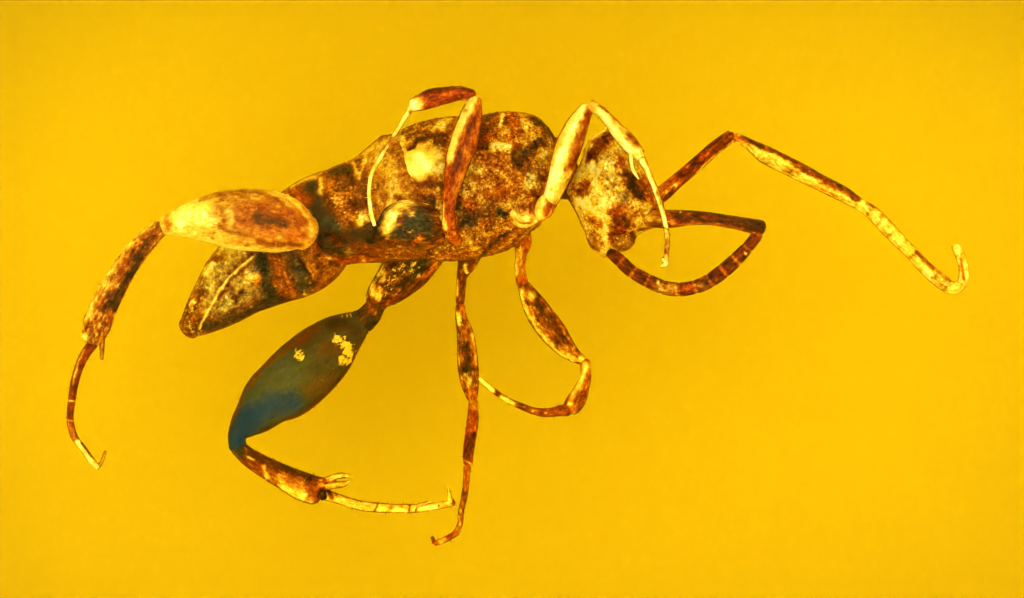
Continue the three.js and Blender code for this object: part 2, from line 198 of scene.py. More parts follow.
class Shell:
    """One closed swept shape: its grid of points, and where each of them is on it.

    A station is a place on its middle line and its width there, and depth is how thick it is against that.
    along runs 0 to 1 from the first station to the last, and across -1 to 1 from the left edge to the
    right one as seen from above, facing along it. way is where a point lies along and across the shape,
    so that a pattern on it runs like fibres. A straight shell has all its rings square to the slab's
    Y axis, whatever way its middle line bends.
    """

    def __init__(self, stations, depth=1.0, around=24, spacing=LIMB_SPACING, straight=False):
        stations = np.asarray(stations, float)
        steps = np.linalg.norm(np.diff(stations[:, :3], axis=0), axis=1)
        count = max(int(steps.sum() / spacing), LEAST_RINGS * len(stations))
        fine = catmull(stations, np.linspace(0, len(stations) - 1, FINE_STEPS * count))
        run = np.concatenate([[0], np.cumsum(np.linalg.norm(np.diff(fine[:, :3], axis=0), axis=1))])
        middle_run = np.linspace(0, run[-1], count + 1)
        rows = np.stack([np.interp(middle_run, run, fine[:, k]) for k in range(4)], axis=1)
        forward = unit(np.gradient(rows[:, :3], axis=0))
        if straight:
            forward = np.broadcast_to([0.0, np.sign(rows[-1, 1] - rows[0, 1]), 0.0], forward.shape)
        rows, forward, share = self.add_domes(rows, forward, middle_run / run[-1])
        right = unit(np.stack([forward[:, 1], -forward[:, 0], 0 * forward[:, 0]], axis=1))
        up = np.cross(right, forward)
        turn = np.linspace(0, 2 * math.pi, around, endpoint=False)
        self.rows, self.around = len(rows), around
        across = np.broadcast_to(np.cos(turn), (len(rows), around))
        upward = np.broadcast_to(np.sin(turn), (len(rows), around))
        sideways = rows[:, 3:4] / 2 * across
        upwards = rows[:, 3:4] / 2 * upward * depth
        grid = (
            rows[:, None, :3]
            + sideways[..., None] * right[:, None, :]
            + upwards[..., None] * up[:, None, :]
        )
        outward = across[..., None] * right[:, None, :] * depth + upward[..., None] * up[:, None, :]
        self.points = grid.reshape(-1, 3)
        self.outward = unit(outward.reshape(-1, 3))
        self.along = np.broadcast_to(share[:, None], across.shape).reshape(-1).copy()
        self.across = across.reshape(-1).copy()
        self.length = run[-1]
        fibre = self.along * self.length * FIBRE
        self.way = np.stack([fibre, sideways.reshape(-1), upwards.reshape(-1)], axis=1)

    @staticmethod
    def add_domes(rows, forward, share, rings=5):
        """Rounds both ends off with rings that close in on the middle line."""
        angles = np.linspace(0, math.pi / 2, rings + 1)[1:]
        start, end = [], []
        for angle in angles:
            shrink = max(math.cos(angle), 1e-3)
            for side, row, ahead in ((start, rows[0], -forward[0]), (end, rows[-1], forward[-1])):
                ring = row.copy()
                ring[:3] += ahead * row[3] * DOME_REACH * math.sin(angle)
                ring[3] *= shrink
                side.append(ring)
        rows = np.concatenate([start[::-1], rows, end])
        forward = np.concatenate([[forward[0]] * rings, forward, [forward[-1]] * rings])
        share = np.concatenate([[0] * rings, share, [1] * rings])
        return rows, forward, share

    def faces(self):
        return tube_faces(self.rows, self.around)

    def push(self, amount):
        """Moves the surface in or out by so many millimetres."""
        self.points = self.points + self.outward * np.asarray(amount)[..., None]


class Ball:
    """A closed ellipsoid that takes paint as a Shell does."""

    def __init__(self, centre, radii, rings, around):
        tilt = np.linspace(0, math.pi, rings + 2)[1:-1]
        turn = np.linspace(0, 2 * math.pi, around, endpoint=False)
        level, swing = np.meshgrid(tilt, turn, indexing="ij")
        sphere = np.stack([np.sin(level) * np.cos(swing), np.sin(level) * np.sin(swing), -np.cos(level)], -1)
        sphere = sphere.reshape(-1, 3)
        self.rows, self.around = rings, around
        self.outward = unit(sphere / np.asarray(radii))
        self.points = sphere * np.asarray(radii) + np.asarray(centre)
        self.across = sphere[:, 1]
        self.way = self.points.copy()

    faces = Shell.faces
    push = Shell.push


# Tone runs from 0, near black, by rust and gold to 1, white, and hue from -2, blue, by -1, olive, to 1, red.
# Tones near white are used for painted highlights and glints.
# Grain is how far noise breaks both up, and leaf is how thick flakes of painted gold glint lie.
PAINTS = ("tone", "hue", "grain", "leaf")


def base_coat(shell, tone, hue=0.0, grain=0.35):
    """Starts a shell's paint, with no painted glint flakes on it yet."""
    coat = dict(zip(PAINTS, (tone, hue, grain, 0)))
    shell.paint = {name: np.full(len(shell.points), float(value)) for name, value in coat.items()}
    return shell


def lay(shell, weight, **values):
    """Mixes paint in, as strong as weight says at each point."""
    for name, value in values.items():
        held = shell.paint[name]
        shell.paint[name] = held + (value - held) * weight


def strokes(shell, marks, seed, wander):
    """Lays brush strokes on a shell as seen from above, their edges wandering by so many millimetres."""
    drift = [
        ripple(shell.points, DRIFT_COARSE, seed + k) + 0.5 * ripple(shell.points, DRIFT_FINE, seed + k)
        for k in (0, 9)
    ]
    drift = DRIFT_GAIN * np.stack(drift, axis=1)
    for mark in marks:
        if isinstance(mark[0], str):
            name, value, width, soft, *path = mark
            paint = {name: value}
        else:
            tone, hue, width, soft, *path = mark
            paint = {"tone": tone, "hue": hue}
        soft = min(1.0, SOFTER * soft)
        path = np.asarray(path, float)
        if len(path) == 1:
            path = np.vstack([path, path + 1e-4])
        margin = width / 2 * (1 + soft)
        spot = shell.points[:, :2] + min(wander, DRIFT_LIMIT * width) * drift
        inside = np.all((spot > path.min(0) - margin) & (spot < path.max(0) + margin), axis=1)
        if not inside.any():
            continue
        near = spot[inside]
        away = np.full(len(near), 1e9)
        for start, end in zip(path[:-1], path[1:]):
            run = end - start
            t = np.clip(((near - start) @ run) / (run @ run), 0, 1)
            away = np.minimum(away, np.linalg.norm(near - start - t[:, None] * run, axis=1))
        weight = np.zeros(len(shell.points))
        weight[inside] = 1 - smooth(width / 2 * (1 - soft), margin, away)
        lay(shell, weight, **paint)


def edge_shade(shell, tone, start, full=0.98, strength=1.0):
    """Painted shade: a thin line along both side edges of a shape, where it turns away from view."""
    lay(shell, strength * smooth(start, full, np.abs(shell.across)), tone=tone, hue=EDGE_SHADE_HUE)


def body_edge_shade(shell, tone):
    """Painted shade: the narrow dark line where a body part turns away from view."""
    edge_shade(shell, tone, start=0.95, full=1.0, strength=0.7)


def in_scene(name, data):
    """A new object in the scene, at the origin."""
    thing = bpy.data.objects.new(name, data)
    bpy.context.scene.collection.objects.link(thing)
    return thing


def piece(name, shells, material):
    """Joins shells into one mesh object that rides on the slab's body and stands in for the insect."""
    mesh = bpy.data.meshes.new(name)
    points, faces, start = [], [], 0
    for shell in shells:
        points.append(shell.points)
        faces += [[start + k for k in face] for face in shell.faces()]
        start += len(shell.points)
    points = np.concatenate(points)
    points[:, 2] += GIRDLE
    mesh.from_pydata((points * MM).tolist(), [], faces)
    for paint in PAINTS:
        layer = mesh.attributes.new(paint, "FLOAT", "POINT")
        values = np.concatenate([shell.paint[paint] for shell in shells])
        layer.data.foreach_set("value", values.astype(np.float32))
    layer = mesh.attributes.new("way", "FLOAT_VECTOR", "POINT")
    ways = np.concatenate([shell.way for shell in shells])
    layer.data.foreach_set("vector", ways.astype(np.float32).ravel())
    work = bmesh.new()
    work.from_mesh(mesh)
    bmesh.ops.recalc_face_normals(work, faces=work.faces)
    work.to_mesh(mesh)
    work.free()
    mesh.shade_smooth()
    mesh.materials.append(material)
    return insect_part(name, mesh)


def insect_part(name, mesh):
    """A finished mesh as an object that rides on the slab's body and stands in for the insect."""
    thing = in_scene(name, mesh)
    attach(thing, "root")
    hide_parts("insect")
    return thing


def new_group(name, inputs, outputs):
    """An empty shader node group with named sockets, and its two end nodes."""
    group = bpy.data.node_groups.new(name, "ShaderNodeTree")
    for label, kind, value in inputs:
        socket = group.interface.new_socket(label, in_out="INPUT", socket_type=kind)
        socket.default_value = value
    for label, kind in outputs:
        group.interface.new_socket(label, in_out="OUTPUT", socket_type=kind)
    return group, group.nodes.new("NodeGroupInput"), group.nodes.new("NodeGroupOutput")


def maths(tree, operation, first, second=None, third=None, clamp=False):
    node = tree.nodes.new("ShaderNodeMath")
    node.operation = operation
    node.use_clamp = clamp
    for socket, value in zip(node.inputs, (first, second, third)):
        if value is None:
            continue
        if isinstance(value, (int, float)):
            socket.default_value = value
        else:
            tree.links.new(value, socket)
    return node.outputs[0]


def ramp(tree, value, stops):
    node = tree.nodes.new("ShaderNodeValToRGB")
    elements = node.color_ramp.elements
    while len(elements) < len(stops):
        elements.new(0.5)
    for element, (place, colour) in zip(elements, stops):
        element.position = place
        element.color = (*colour, 1)
    tree.links.new(value, node.inputs[0])
    return node.outputs[0]


def mix_colours(tree, factor, first, second):
    node = tree.nodes.new("ShaderNodeMix")
    node.data_type = "RGBA"
    node.clamp_factor = True
    tree.links.new(factor, node.inputs[0])
    tree.links.new(first, node.inputs[6])
    tree.links.new(second, node.inputs[7])
    return node.outputs[2]


# Cuticle colours from dark to bright, as they are without the amber's own tint over them. Their near-white
# top end gives the painted highlights and glints.
BROWN = [
    (0.0, (0.02, 0.009, 0.003)), (0.14, (0.055, 0.021, 0.005)), (0.28, (0.125, 0.036, 0.006)),
    (0.42, (0.27, 0.075, 0.009)), (0.55, (0.48, 0.2, 0.02)), (0.68, (0.74, 0.46, 0.05)),
    (0.80, (0.95, 0.73, 0.14)), (0.90, (1.0, 0.94, 0.4)), (1.0, (1.0, 1.0, 1.0)),
]
RED = [
    (0.0, (0.022, 0.004, 0.001)), (0.2, (0.1, 0.01, 0.002)), (0.4, (0.33, 0.036, 0.003)),
    (0.6, (0.7, 0.16, 0.008)), (0.8, (0.97, 0.52, 0.05)), (1.0, (1.0, 0.9, 0.6)),
]
OLIVE = [
    (0.0, (0.012, 0.012, 0.01)), (0.2, (0.034, 0.038, 0.035)), (0.4, (0.09, 0.092, 0.07)),
    (0.6, (0.33, 0.29, 0.14)), (0.8, (0.78, 0.7, 0.4)), (1.0, (1.0, 1.0, 1.0)),
]
TEAL = [
    (0.0, (0.003, 0.022, 0.32)), (0.2, (0.007, 0.047, 0.56)), (0.4, (0.04, 0.105, 0.7)),
    (0.6, (0.12, 0.2, 0.75)), (1.0, (0.7, 0.9, 1.0)),
]


def cuticle_group():
    """Mottled cuticle: painted tone and hue, broken up by patches, grain, round dots and flakes of painted
    gold glint.
    """
    group, given, out = new_group(
        "cuticle",
        [
            ("Way", "NodeSocketVector", (0, 0, 0)),
            ("Tone", "NodeSocketFloat", 0.4),
            ("Hue", "NodeSocketFloat", 0.0),
            ("Grain", "NodeSocketFloat", 0.4),
            ("Leaf", "NodeSocketFloat", 0.0),
        ],
        [("Colour", "NodeSocketColor"), ("Height", "NodeSocketFloat"), ("Value", "NodeSocketFloat")],
    )

    def cloud(size, detail, roughness=0.6):
        node = group.nodes.new("ShaderNodeTexNoise")
        node.inputs["Scale"].default_value = 1 / size
        node.inputs["Detail"].default_value = detail
        node.inputs["Roughness"].default_value = roughness
        group.links.new(given.outputs["Way"], node.inputs["Vector"])
        return node.outputs["Fac"]

    def dots(size, share):
        """Round dots of random size, in about that share of the cells."""
        node = group.nodes.new("ShaderNodeTexVoronoi")
        node.inputs["Scale"].default_value = 1 / size
        group.links.new(given.outputs["Way"], node.inputs["Vector"])
        split = group.nodes.new("ShaderNodeSeparateColor")
        group.links.new(node.outputs["Color"], split.inputs[0])
        radius = maths(group, "MULTIPLY_ADD", split.outputs[0], DOT_SWING, DOT_LEAST)
        inside = maths(group, "SUBTRACT", radius, node.outputs["Distance"])
        inside = maths(group, "MULTIPLY", inside, DOT_EDGE, clamp=True)
        chosen = maths(group, "LESS_THAN", split.outputs[1], share)
        return maths(group, "MULTIPLY", inside, chosen)

    patches = cloud(PATCH_SIZE, 3)
    fine = cloud(FINE_SIZE, 4, 0.75)
    stains = cloud(STAIN_SIZE, 3)
    flakes = cloud(FLAKE_SIZE, 4, 0.7)
    bright = maths(group, "SUBTRACT", dots(*BRIGHT_DOTS), dots(*DARK_DOTS))
    swing = maths(group, "MULTIPLY", maths(group, "SUBTRACT", patches, 0.5), PATCH_CONTRAST)
    swing = maths(group, "MULTIPLY_ADD", maths(group, "SUBTRACT", fine, 0.5), FINE_CONTRAST, swing)
    swing = maths(group, "MULTIPLY_ADD", bright, DOT_CONTRAST, swing)
    toned = maths(group, "MULTIPLY_ADD", swing, given.outputs["Grain"], given.outputs["Tone"], clamp=True)
    bar = maths(group, "MULTIPLY_ADD", given.outputs["Leaf"], -GLINT_REACH, GLINT_BAR)
    leaf = maths(group, "MULTIPLY", maths(group, "SUBTRACT", flakes, bar), GLINT_EDGE, clamp=True)
    value = maths(group, "MULTIPLY_ADD", maths(group, "SUBTRACT", GLINT_TONE, toned), leaf, toned, clamp=True)

    stain = maths(group, "MULTIPLY", maths(group, "SUBTRACT", stains, 0.5), HUE_CONTRAST)
    hue = maths(group, "MULTIPLY_ADD", stain, given.outputs["Grain"], given.outputs["Hue"])
    bare = maths(group, "SUBTRACT", 1.0, leaf)
    warm = maths(group, "MULTIPLY", hue, 1.0, clamp=True)
    cool = maths(group, "MULTIPLY", hue, -1.0, clamp=True)
    cold = maths(group, "MULTIPLY_ADD", hue, -1.0, -1.0, clamp=True)
    colour = ramp(group, value, BROWN)
    for share, tints in ((warm, RED), (cool, OLIVE), (cold, TEAL)):
        share = maths(group, "MULTIPLY", share, bare)
        colour = mix_colours(group, share, colour, ramp(group, value, tints))
    group.links.new(colour, out.inputs["Colour"])
    group.links.new(value, out.inputs["Value"])
    height = maths(group, "MULTIPLY_ADD", bright, DOT_HEIGHT, fine)
    height = maths(group, "MULTIPLY", height, given.outputs["Grain"])
    group.links.new(maths(group, "MULTIPLY_ADD", leaf, GLINT_HEIGHT, height), out.inputs["Height"])
    return group


def new_material(name, sockets):
    """A material with those values on its shader's own sockets, and the node tree and shader in it."""
    material = bpy.data.materials.new(name)
    material.use_nodes = True
    shader = material.node_tree.nodes["Principled BSDF"]
    for label, value in sockets.items():
        shader.inputs[label].default_value = value
    return material, material.node_tree, shader


def cuticle_material(name, group, relief, roughness):
    """Cuticle that is glossy where it is bright. Its relief is how high its bumps stand, in millimetres."""
    sockets = {"Roughness": roughness, "IOR": 1.2, "Coat IOR": 2.0, "Coat Roughness": 0.12}
    material, tree, shader = new_material(name, sockets)
    cuticle = tree.nodes.new("ShaderNodeGroup")
    cuticle.node_tree = group
    for label in ("Tone", "Hue", "Grain", "Leaf", "Way"):
        reader = tree.nodes.new("ShaderNodeAttribute")
        reader.attribute_name = label.lower()
        tree.links.new(reader.outputs["Vector" if label == "Way" else "Fac"], cuticle.inputs[label])
    lit = maths(tree, "SUBTRACT", cuticle.outputs["Value"], GLOSS_START)
    lit = maths(tree, "MULTIPLY", lit, GLOSS_GAIN, clamp=True)
    bump = tree.nodes.new("ShaderNodeBump")
    bump.inputs["Strength"].default_value = 1.0
    bump.inputs["Distance"].default_value = relief * MM
    tree.links.new(cuticle.outputs["Height"], bump.inputs["Height"])
    tree.links.new(cuticle.outputs["Colour"], shader.inputs["Base Color"])
    tree.links.new(bump.outputs[0], shader.inputs["Normal"])
    tree.links.new(lit, shader.inputs["Coat Weight"])
    return material


def amber_material():
    """Clear amber: plain transmission, and an absorption that turns white light golden in 10 mm."""
    sockets = {"Base Color": (1, 1, 1, 1), "Roughness": 0.0, "IOR": AMBER_IOR, "Transmission Weight": 1.0}
    material, tree, _ = new_material("amber", sockets)
    depth = tree.nodes.new("ShaderNodeVolumeAbsorption")
    depth.inputs["Color"].default_value = (*AMBER_CLEAR, 1)
    depth.inputs["Density"].default_value = AMBER_DENSITY
    tree.links.new(depth.outputs[0], tree.nodes["Material Output"].inputs["Volume"])
    return material


def slab_outline(angle, inset):
    """The slab's outline, drawn in by inset: a soft rectangle with one end a little narrower."""
    x = np.abs(np.cos(angle)) / (SLAB_LENGTH / 2 - inset)
    y = np.abs(np.sin(angle)) / (SLAB_WIDTH / 2 - inset)
    reach = (x**SLAB_POWER + y**SLAB_POWER) ** (-1 / SLAB_POWER)
    reach = reach * (1 + SLAB_WOBBLE * np.sin(3 * angle + SLAB_WOBBLE_TURN))
    x = reach * np.cos(angle)
    return x, reach * (1 - SLAB_TAPER * (x / SLAB_LENGTH + 0.5)) * np.sin(angle)


def amber_slab(around=240, edge_rows=20):
    """The clear slab in one piece, from its base round the girdle to the window."""
    angle = np.linspace(0, 2 * math.pi, around, endpoint=False)
    rows = []
    for side, thickness in ((-1, GIRDLE), (1, SLAB_HEIGHT - GIRDLE)):
        turns = np.linspace(0, math.pi / 2, edge_rows + 1)
        turns = turns if side < 0 else turns[::-1][1:]
        for turn in turns:
            inset = EDGE_ROUNDING * (1 - math.sin(turn) ** (2 / EDGE_POWER))
            height = thickness * max(math.cos(turn), 0) ** (2 / EDGE_POWER)
            rows.append((inset, GIRDLE + side * height))
    flat = EDGE_ROUNDING + FLAT_MARGIN
    rows = [(flat, 0.0), *rows, (flat, SLAB_HEIGHT)]
    points = []
    for inset, height in rows:
        x, y = slab_outline(angle, inset)
        points.append(np.stack([x, y, np.full(around, height)], axis=1))
    points = np.concatenate(points)
    middle = (points.max(0) + points.min(0)) / 2
    points[:, :2] -= middle[:2]
    points[:, :2] *= np.array(cad_high)[:2] / MM / points.max(0)[:2]
    mesh = bpy.data.meshes.new("amber")
    mesh.from_pydata((points * MM).tolist(), [], tube_faces(len(rows), around))
    mesh.shade_smooth()
    mesh.materials.append(amber_material())
    slab = in_scene("amber", mesh)
    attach(slab, "root")
    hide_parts("amber_lower", "amber_upper")


# Stations of the middle lines: x, y, z and the width there.
GASTER = [
    (-1.07, 1.02, 0, 1.32), (-1.37, 0.91, 0, 1.12), (-1.66, 0.84, 0, 1.0), (-1.93, 0.75, 0, 0.96),
    (-2.15, 0.54, 0, 1.02), (-2.46, 0.37, 0, 0.92), (-2.72, 0.19, 0, 0.77), (-2.92, 0.0, 0, 0.61),
    (-3.09, -0.16, 0, 0.43), (-3.23, -0.29, 0, 0.24),
]
THORAX = [
    (-1.14, 0.99, 0, 1.1), (-0.92, 1.05, 0, 1.36), (-0.62, 1.1, 0, 1.44), (-0.32, 1.13, 0, 1.4),
    (-0.07, 1.24, 0, 1.28), (0.17, 1.3, 0, 1.16), (0.36, 1.32, 0, 0.9), (0.46, 1.33, 0, 0.58),
]
NECK = [(0.3, 1.17, 0, 0.34), (0.6, 1.13, 0, 0.28), (0.85, 1.12, 0, 0.34)]
HEAD = [
    (0.96, 1.7, 0, 0.1), (0.94, 1.62, 0, 0.28), (0.955, 1.52, 0, 0.45), (0.985, 1.4, 0, 0.57),
    (0.99, 1.28, 0, 0.7), (0.985, 1.15, 0, 0.87), (1.005, 1.05, 0, 0.95), (1.06, 0.93, 0, 0.92),
    (1.08, 0.82, 0, 0.845), (1.08, 0.74, 0, 0.78), (1.04, 0.69, 0, 0.645), (1.0, 0.64, 0, 0.525),
    (0.99, 0.56, 0, 0.455), (0.97, 0.5, 0, 0.34), (0.93, 0.46, 0, 0.13),
]
JAW = [(1.06, 0.66, 0.06, 0.3), (1.13, 0.57, 0.08, 0.24)]
EYE_CENTRE = (1.01, 1.27, 0.29)
EYE_RADII = (0.19, 0.27, 0.13)

NEAR_HIND_LEG = {
    "coxa": [
        (-0.72, 0.72, 0.3, 0.4), (-0.86, 0.74, 0.4, 0.5), (-1.0, 0.76, 0.45, 0.52),
        (-1.15, 0.74, 0.46, 0.44), (-1.27, 0.68, 0.43, 0.26), (-1.38, 0.62, 0.34, 0.15),
        (-1.6, 0.6, 0.28, 0.12), (-1.86, 0.57, 0.42, 0.16),
    ],
    "femur": [
        (-2.06, 0.66, 0.6, 0.36), (-2.14, 0.695, 0.61, 0.47), (-2.27, 0.74, 0.62, 0.58),
        (-2.47, 0.78, 0.63, 0.62), (-2.72, 0.79, 0.62, 0.61), (-2.97, 0.8, 0.6, 0.52),
        (-3.22, 0.78, 0.56, 0.36), (-3.44, 0.74, 0.52, 0.22),
    ],
    "tibia": [
        (-3.52, 0.7, 0.5, 0.18), (-3.62, 0.61, 0.49, 0.21), (-3.76, 0.45, 0.47, 0.23),
        (-3.9, 0.25, 0.45, 0.25), (-4.07, -0.07, 0.43, 0.28), (-4.14, -0.25, 0.42, 0.29),
        (-4.18, -0.38, 0.41, 0.24),
    ],
    "tarsus": [
        (-4.18, -0.44, 0.4, 0.11), (-4.27, -0.57, 0.39, 0.1), (-4.33, -0.71, 0.38, 0.09),
        (-4.37, -0.86, 0.37, 0.085), (-4.39, -0.99, 0.36, 0.08), (-4.41, -1.16, 0.35, 0.07),
        (-4.4, -1.28, 0.34, 0.075), (-4.36, -1.39, 0.33, 0.07), (-4.27, -1.51, 0.32, 0.07),
        (-4.2, -1.61, 0.31, 0.07), (-4.14, -1.68, 0.3, 0.055),
    ],
    "spurs": [
        [(-4.09, -0.36, 0.44, 0.06), (-4.09, -0.5, 0.44, 0.05), (-4.09, -0.6, 0.44, 0.03)],
        [(-4.14, -1.69, 0.3, 0.04), (-4.09, -1.61, 0.3, 0.035), (-4.06, -1.52, 0.3, 0.03)],
    ],
}
NEAR_MIDDLE_LEG = {
    "coxa": [(-0.52, 0.62, 0.3, 0.16), (-0.58, 0.63, 0.45, 0.14), (-0.62, 0.7, 0.58, 0.14)],
    "femur": [
        (-0.63, 0.72, 0.61, 0.15), (-0.63, 0.91, 0.66, 0.13), (-0.6, 1.1, 0.69, 0.16),
        (-0.57, 1.25, 0.7, 0.22), (-0.53, 1.41, 0.71, 0.26), (-0.49, 1.53, 0.71, 0.28),
        (-0.44, 1.71, 0.71, 0.25), (-0.4, 1.86, 0.7, 0.21), (-0.37, 1.98, 0.69, 0.14),
    ],
    "tibia": [
        (-0.4, 2.03, 0.69, 0.12), (-0.52, 2.05, 0.7, 0.14), (-0.65, 2.03, 0.71, 0.17),
        (-0.8, 2.0, 0.72, 0.19), (-0.9, 1.96, 0.73, 0.17), (-0.99, 1.93, 0.73, 0.13),
    ],
    "tarsus": [
        (-1.01, 1.9, 0.73, 0.06), (-1.12, 1.72, 0.73, 0.042), (-1.2, 1.59, 0.73, 0.04),
        (-1.32, 1.39, 0.72, 0.042), (-1.39, 1.27, 0.71, 0.045), (-1.42, 1.14, 0.7, 0.042),
        (-1.42, 0.99, 0.69, 0.045), (-1.4, 0.84, 0.67, 0.05), (-1.37, 0.74, 0.66, 0.04),
    ],
    "spurs": [],
}
NEAR_FRONT_LEG = {
    "coxa": [
        (0.06, 1.04, 0.14, 0.36), (0.08, 0.94, 0.28, 0.38), (0.14, 0.85, 0.36, 0.32), (0.23, 0.81, 0.4, 0.17),
    ],
    "trochanter": [
        (0.28, 0.83, 0.42, 0.13), (0.31, 0.88, 0.45, 0.19), (0.34, 0.95, 0.46, 0.2), (0.37, 1.0, 0.47, 0.16),
    ],
    "femur": [
        (0.39, 1.0, 0.47, 0.17), (0.47, 1.22, 0.51, 0.23), (0.52, 1.39, 0.53, 0.26),
        (0.57, 1.54, 0.55, 0.27), (0.66, 1.75, 0.56, 0.22), (0.74, 1.89, 0.56, 0.14),
    ],
    "tibia": [
        (0.79, 1.92, 0.56, 0.12), (0.87, 1.88, 0.56, 0.11), (0.96, 1.79, 0.56, 0.12),
        (1.05, 1.68, 0.56, 0.15), (1.16, 1.56, 0.56, 0.17), (1.26, 1.44, 0.56, 0.14),
    ],
    "tarsus": [
        (1.3, 1.38, 0.56, 0.08), (1.36, 1.25, 0.56, 0.06), (1.43, 1.09, 0.55, 0.06),
        (1.49, 0.91, 0.54, 0.058), (1.53, 0.74, 0.52, 0.052), (1.55, 0.59, 0.5, 0.052),
        (1.54, 0.45, 0.49, 0.05), (1.53, 0.35, 0.48, 0.06),
    ],
    "spurs": [
        [(1.18, 1.46, 0.58, 0.05), (1.19, 1.36, 0.58, 0.045), (1.21, 1.28, 0.58, 0.045),
         (1.26, 1.2, 0.58, 0.02)],
        [(1.53, 0.34, 0.48, 0.045), (1.49, 0.33, 0.48, 0.04)],
        [(1.53, 0.37, 0.5, 0.045), (1.5, 0.4, 0.52, 0.035)],
    ],
}
FAR_HIND_LEG = {
    "coxa": [
        (-0.87, 0.55, -0.12, 0.5), (-1.04, 0.33, -0.28, 0.5), (-1.17, 0.18, -0.34, 0.42),
        (-1.31, 0.04, -0.38, 0.31), (-1.36, -0.04, -0.4, 0.22),
    ],
    "trochanter": [
        (-1.37, -0.07, -0.4, 0.2), (-1.42, -0.15, -0.41, 0.23), (-1.49, -0.22, -0.42, 0.25),
    ],
    "femur": [
        (-1.52, -0.23, -0.43, 0.26), (-1.6, -0.29, -0.44, 0.36), (-1.73, -0.39, -0.46, 0.5),
        (-1.88, -0.53, -0.48, 0.62), (-2.06, -0.7, -0.49, 0.67), (-2.25, -0.87, -0.49, 0.66),
        (-2.43, -1.0, -0.48, 0.57), (-2.57, -1.15, -0.47, 0.44), (-2.69, -1.27, -0.46, 0.3),
        (-2.755, -1.37, -0.45, 0.19), (-2.75, -1.48, -0.45, 0.18),
    ],
    "tibia": [
        (-2.75, -1.49, -0.45, 0.16), (-2.62, -1.6, -0.45, 0.19), (-2.45, -1.7, -0.45, 0.22),
        (-2.28, -1.79, -0.45, 0.25), (-2.12, -1.87, -0.45, 0.29), (-1.98, -1.92, -0.45, 0.29),
    ],
    "tarsus": [
        (-1.88, -1.96, -0.45, 0.11), (-1.72, -2.01, -0.45, 0.1), (-1.6, -2.05, -0.45, 0.1),
        (-1.47, -2.08, -0.45, 0.1), (-1.34, -2.09, -0.45, 0.1), (-1.19, -2.1, -0.44, 0.09),
        (-1.02, -2.1, -0.43, 0.09), (-0.87, -2.09, -0.42, 0.08), (-0.72, -2.07, -0.41, 0.07),
        (-0.59, -2.04, -0.4, 0.07),
    ],
    "spurs": [
        [(-1.86, -1.81, -0.4, 0.06), (-1.78, -1.785, -0.4, 0.06), (-1.7, -1.768, -0.4, 0.06),
         (-1.61, -1.785, -0.4, 0.02)],
        [(-1.86, -1.88, -0.37, 0.07), (-1.77, -1.865, -0.37, 0.07), (-1.69, -1.855, -0.37, 0.06),
         (-1.62, -1.82, -0.37, 0.02)],
        [(-0.62, -2.04, -0.4, 0.07), (-0.632, -1.96, -0.4, 0.045), (-0.642, -1.87, -0.4, 0.012)],
        [(-0.94, -2.075, -0.4, 0.05), (-0.87, -2.05, -0.38, 0.04), (-0.82, -2.03, -0.37, 0.02)],
    ],
    "knobs": [
        [(-1.98, -1.86, -0.42, 0.17), (-1.88, -1.86, -0.41, 0.15), (-1.79, -1.835, -0.4, 0.1)],
        [(-1.9, -1.95, -0.36, 0.08), (-1.89, -1.99, -0.36, 0.08)],
    ],
}
FAR_MIDDLE_LEG = {
    "coxa": [
        (-0.42, 0.5, -0.16, 0.3), (-0.45, 0.36, -0.28, 0.2), (-0.5, 0.23, -0.38, 0.11),
        (-0.51, 0.12, -0.42, 0.1), (-0.52, -0.03, -0.45, 0.09),
    ],
    "femur": [
        (-0.52, -0.07, -0.465, 0.09), (-0.51, -0.19, -0.49, 0.12), (-0.47, -0.35, -0.51, 0.17),
        (-0.45, -0.53, -0.53, 0.2), (-0.44, -0.69, -0.54, 0.21), (-0.42, -0.86, -0.54, 0.18),
        (-0.4, -0.99, -0.54, 0.11),
    ],
    "tibia": [
        (-0.39, -1.03, -0.54, 0.09), (-0.39, -1.14, -0.54, 0.11), (-0.4, -1.27, -0.54, 0.125),
        (-0.42, -1.41, -0.54, 0.12), (-0.44, -1.56, -0.54, 0.11), (-0.44, -1.64, -0.54, 0.1),
    ],
    "tarsus": [
        (-0.45, -1.69, -0.54, 0.075), (-0.46, -1.85, -0.53, 0.065), (-0.48, -1.99, -0.52, 0.065),
        (-0.51, -2.13, -0.51, 0.06), (-0.52, -2.25, -0.5, 0.06), (-0.56, -2.34, -0.49, 0.065),
        (-0.63, -2.39, -0.48, 0.06), (-0.71, -2.43, -0.47, 0.06), (-0.77, -2.45, -0.46, 0.05),
    ],
    "spurs": [[(-0.78, -2.44, -0.46, 0.045), (-0.8, -2.39, -0.46, 0.035)]],
}
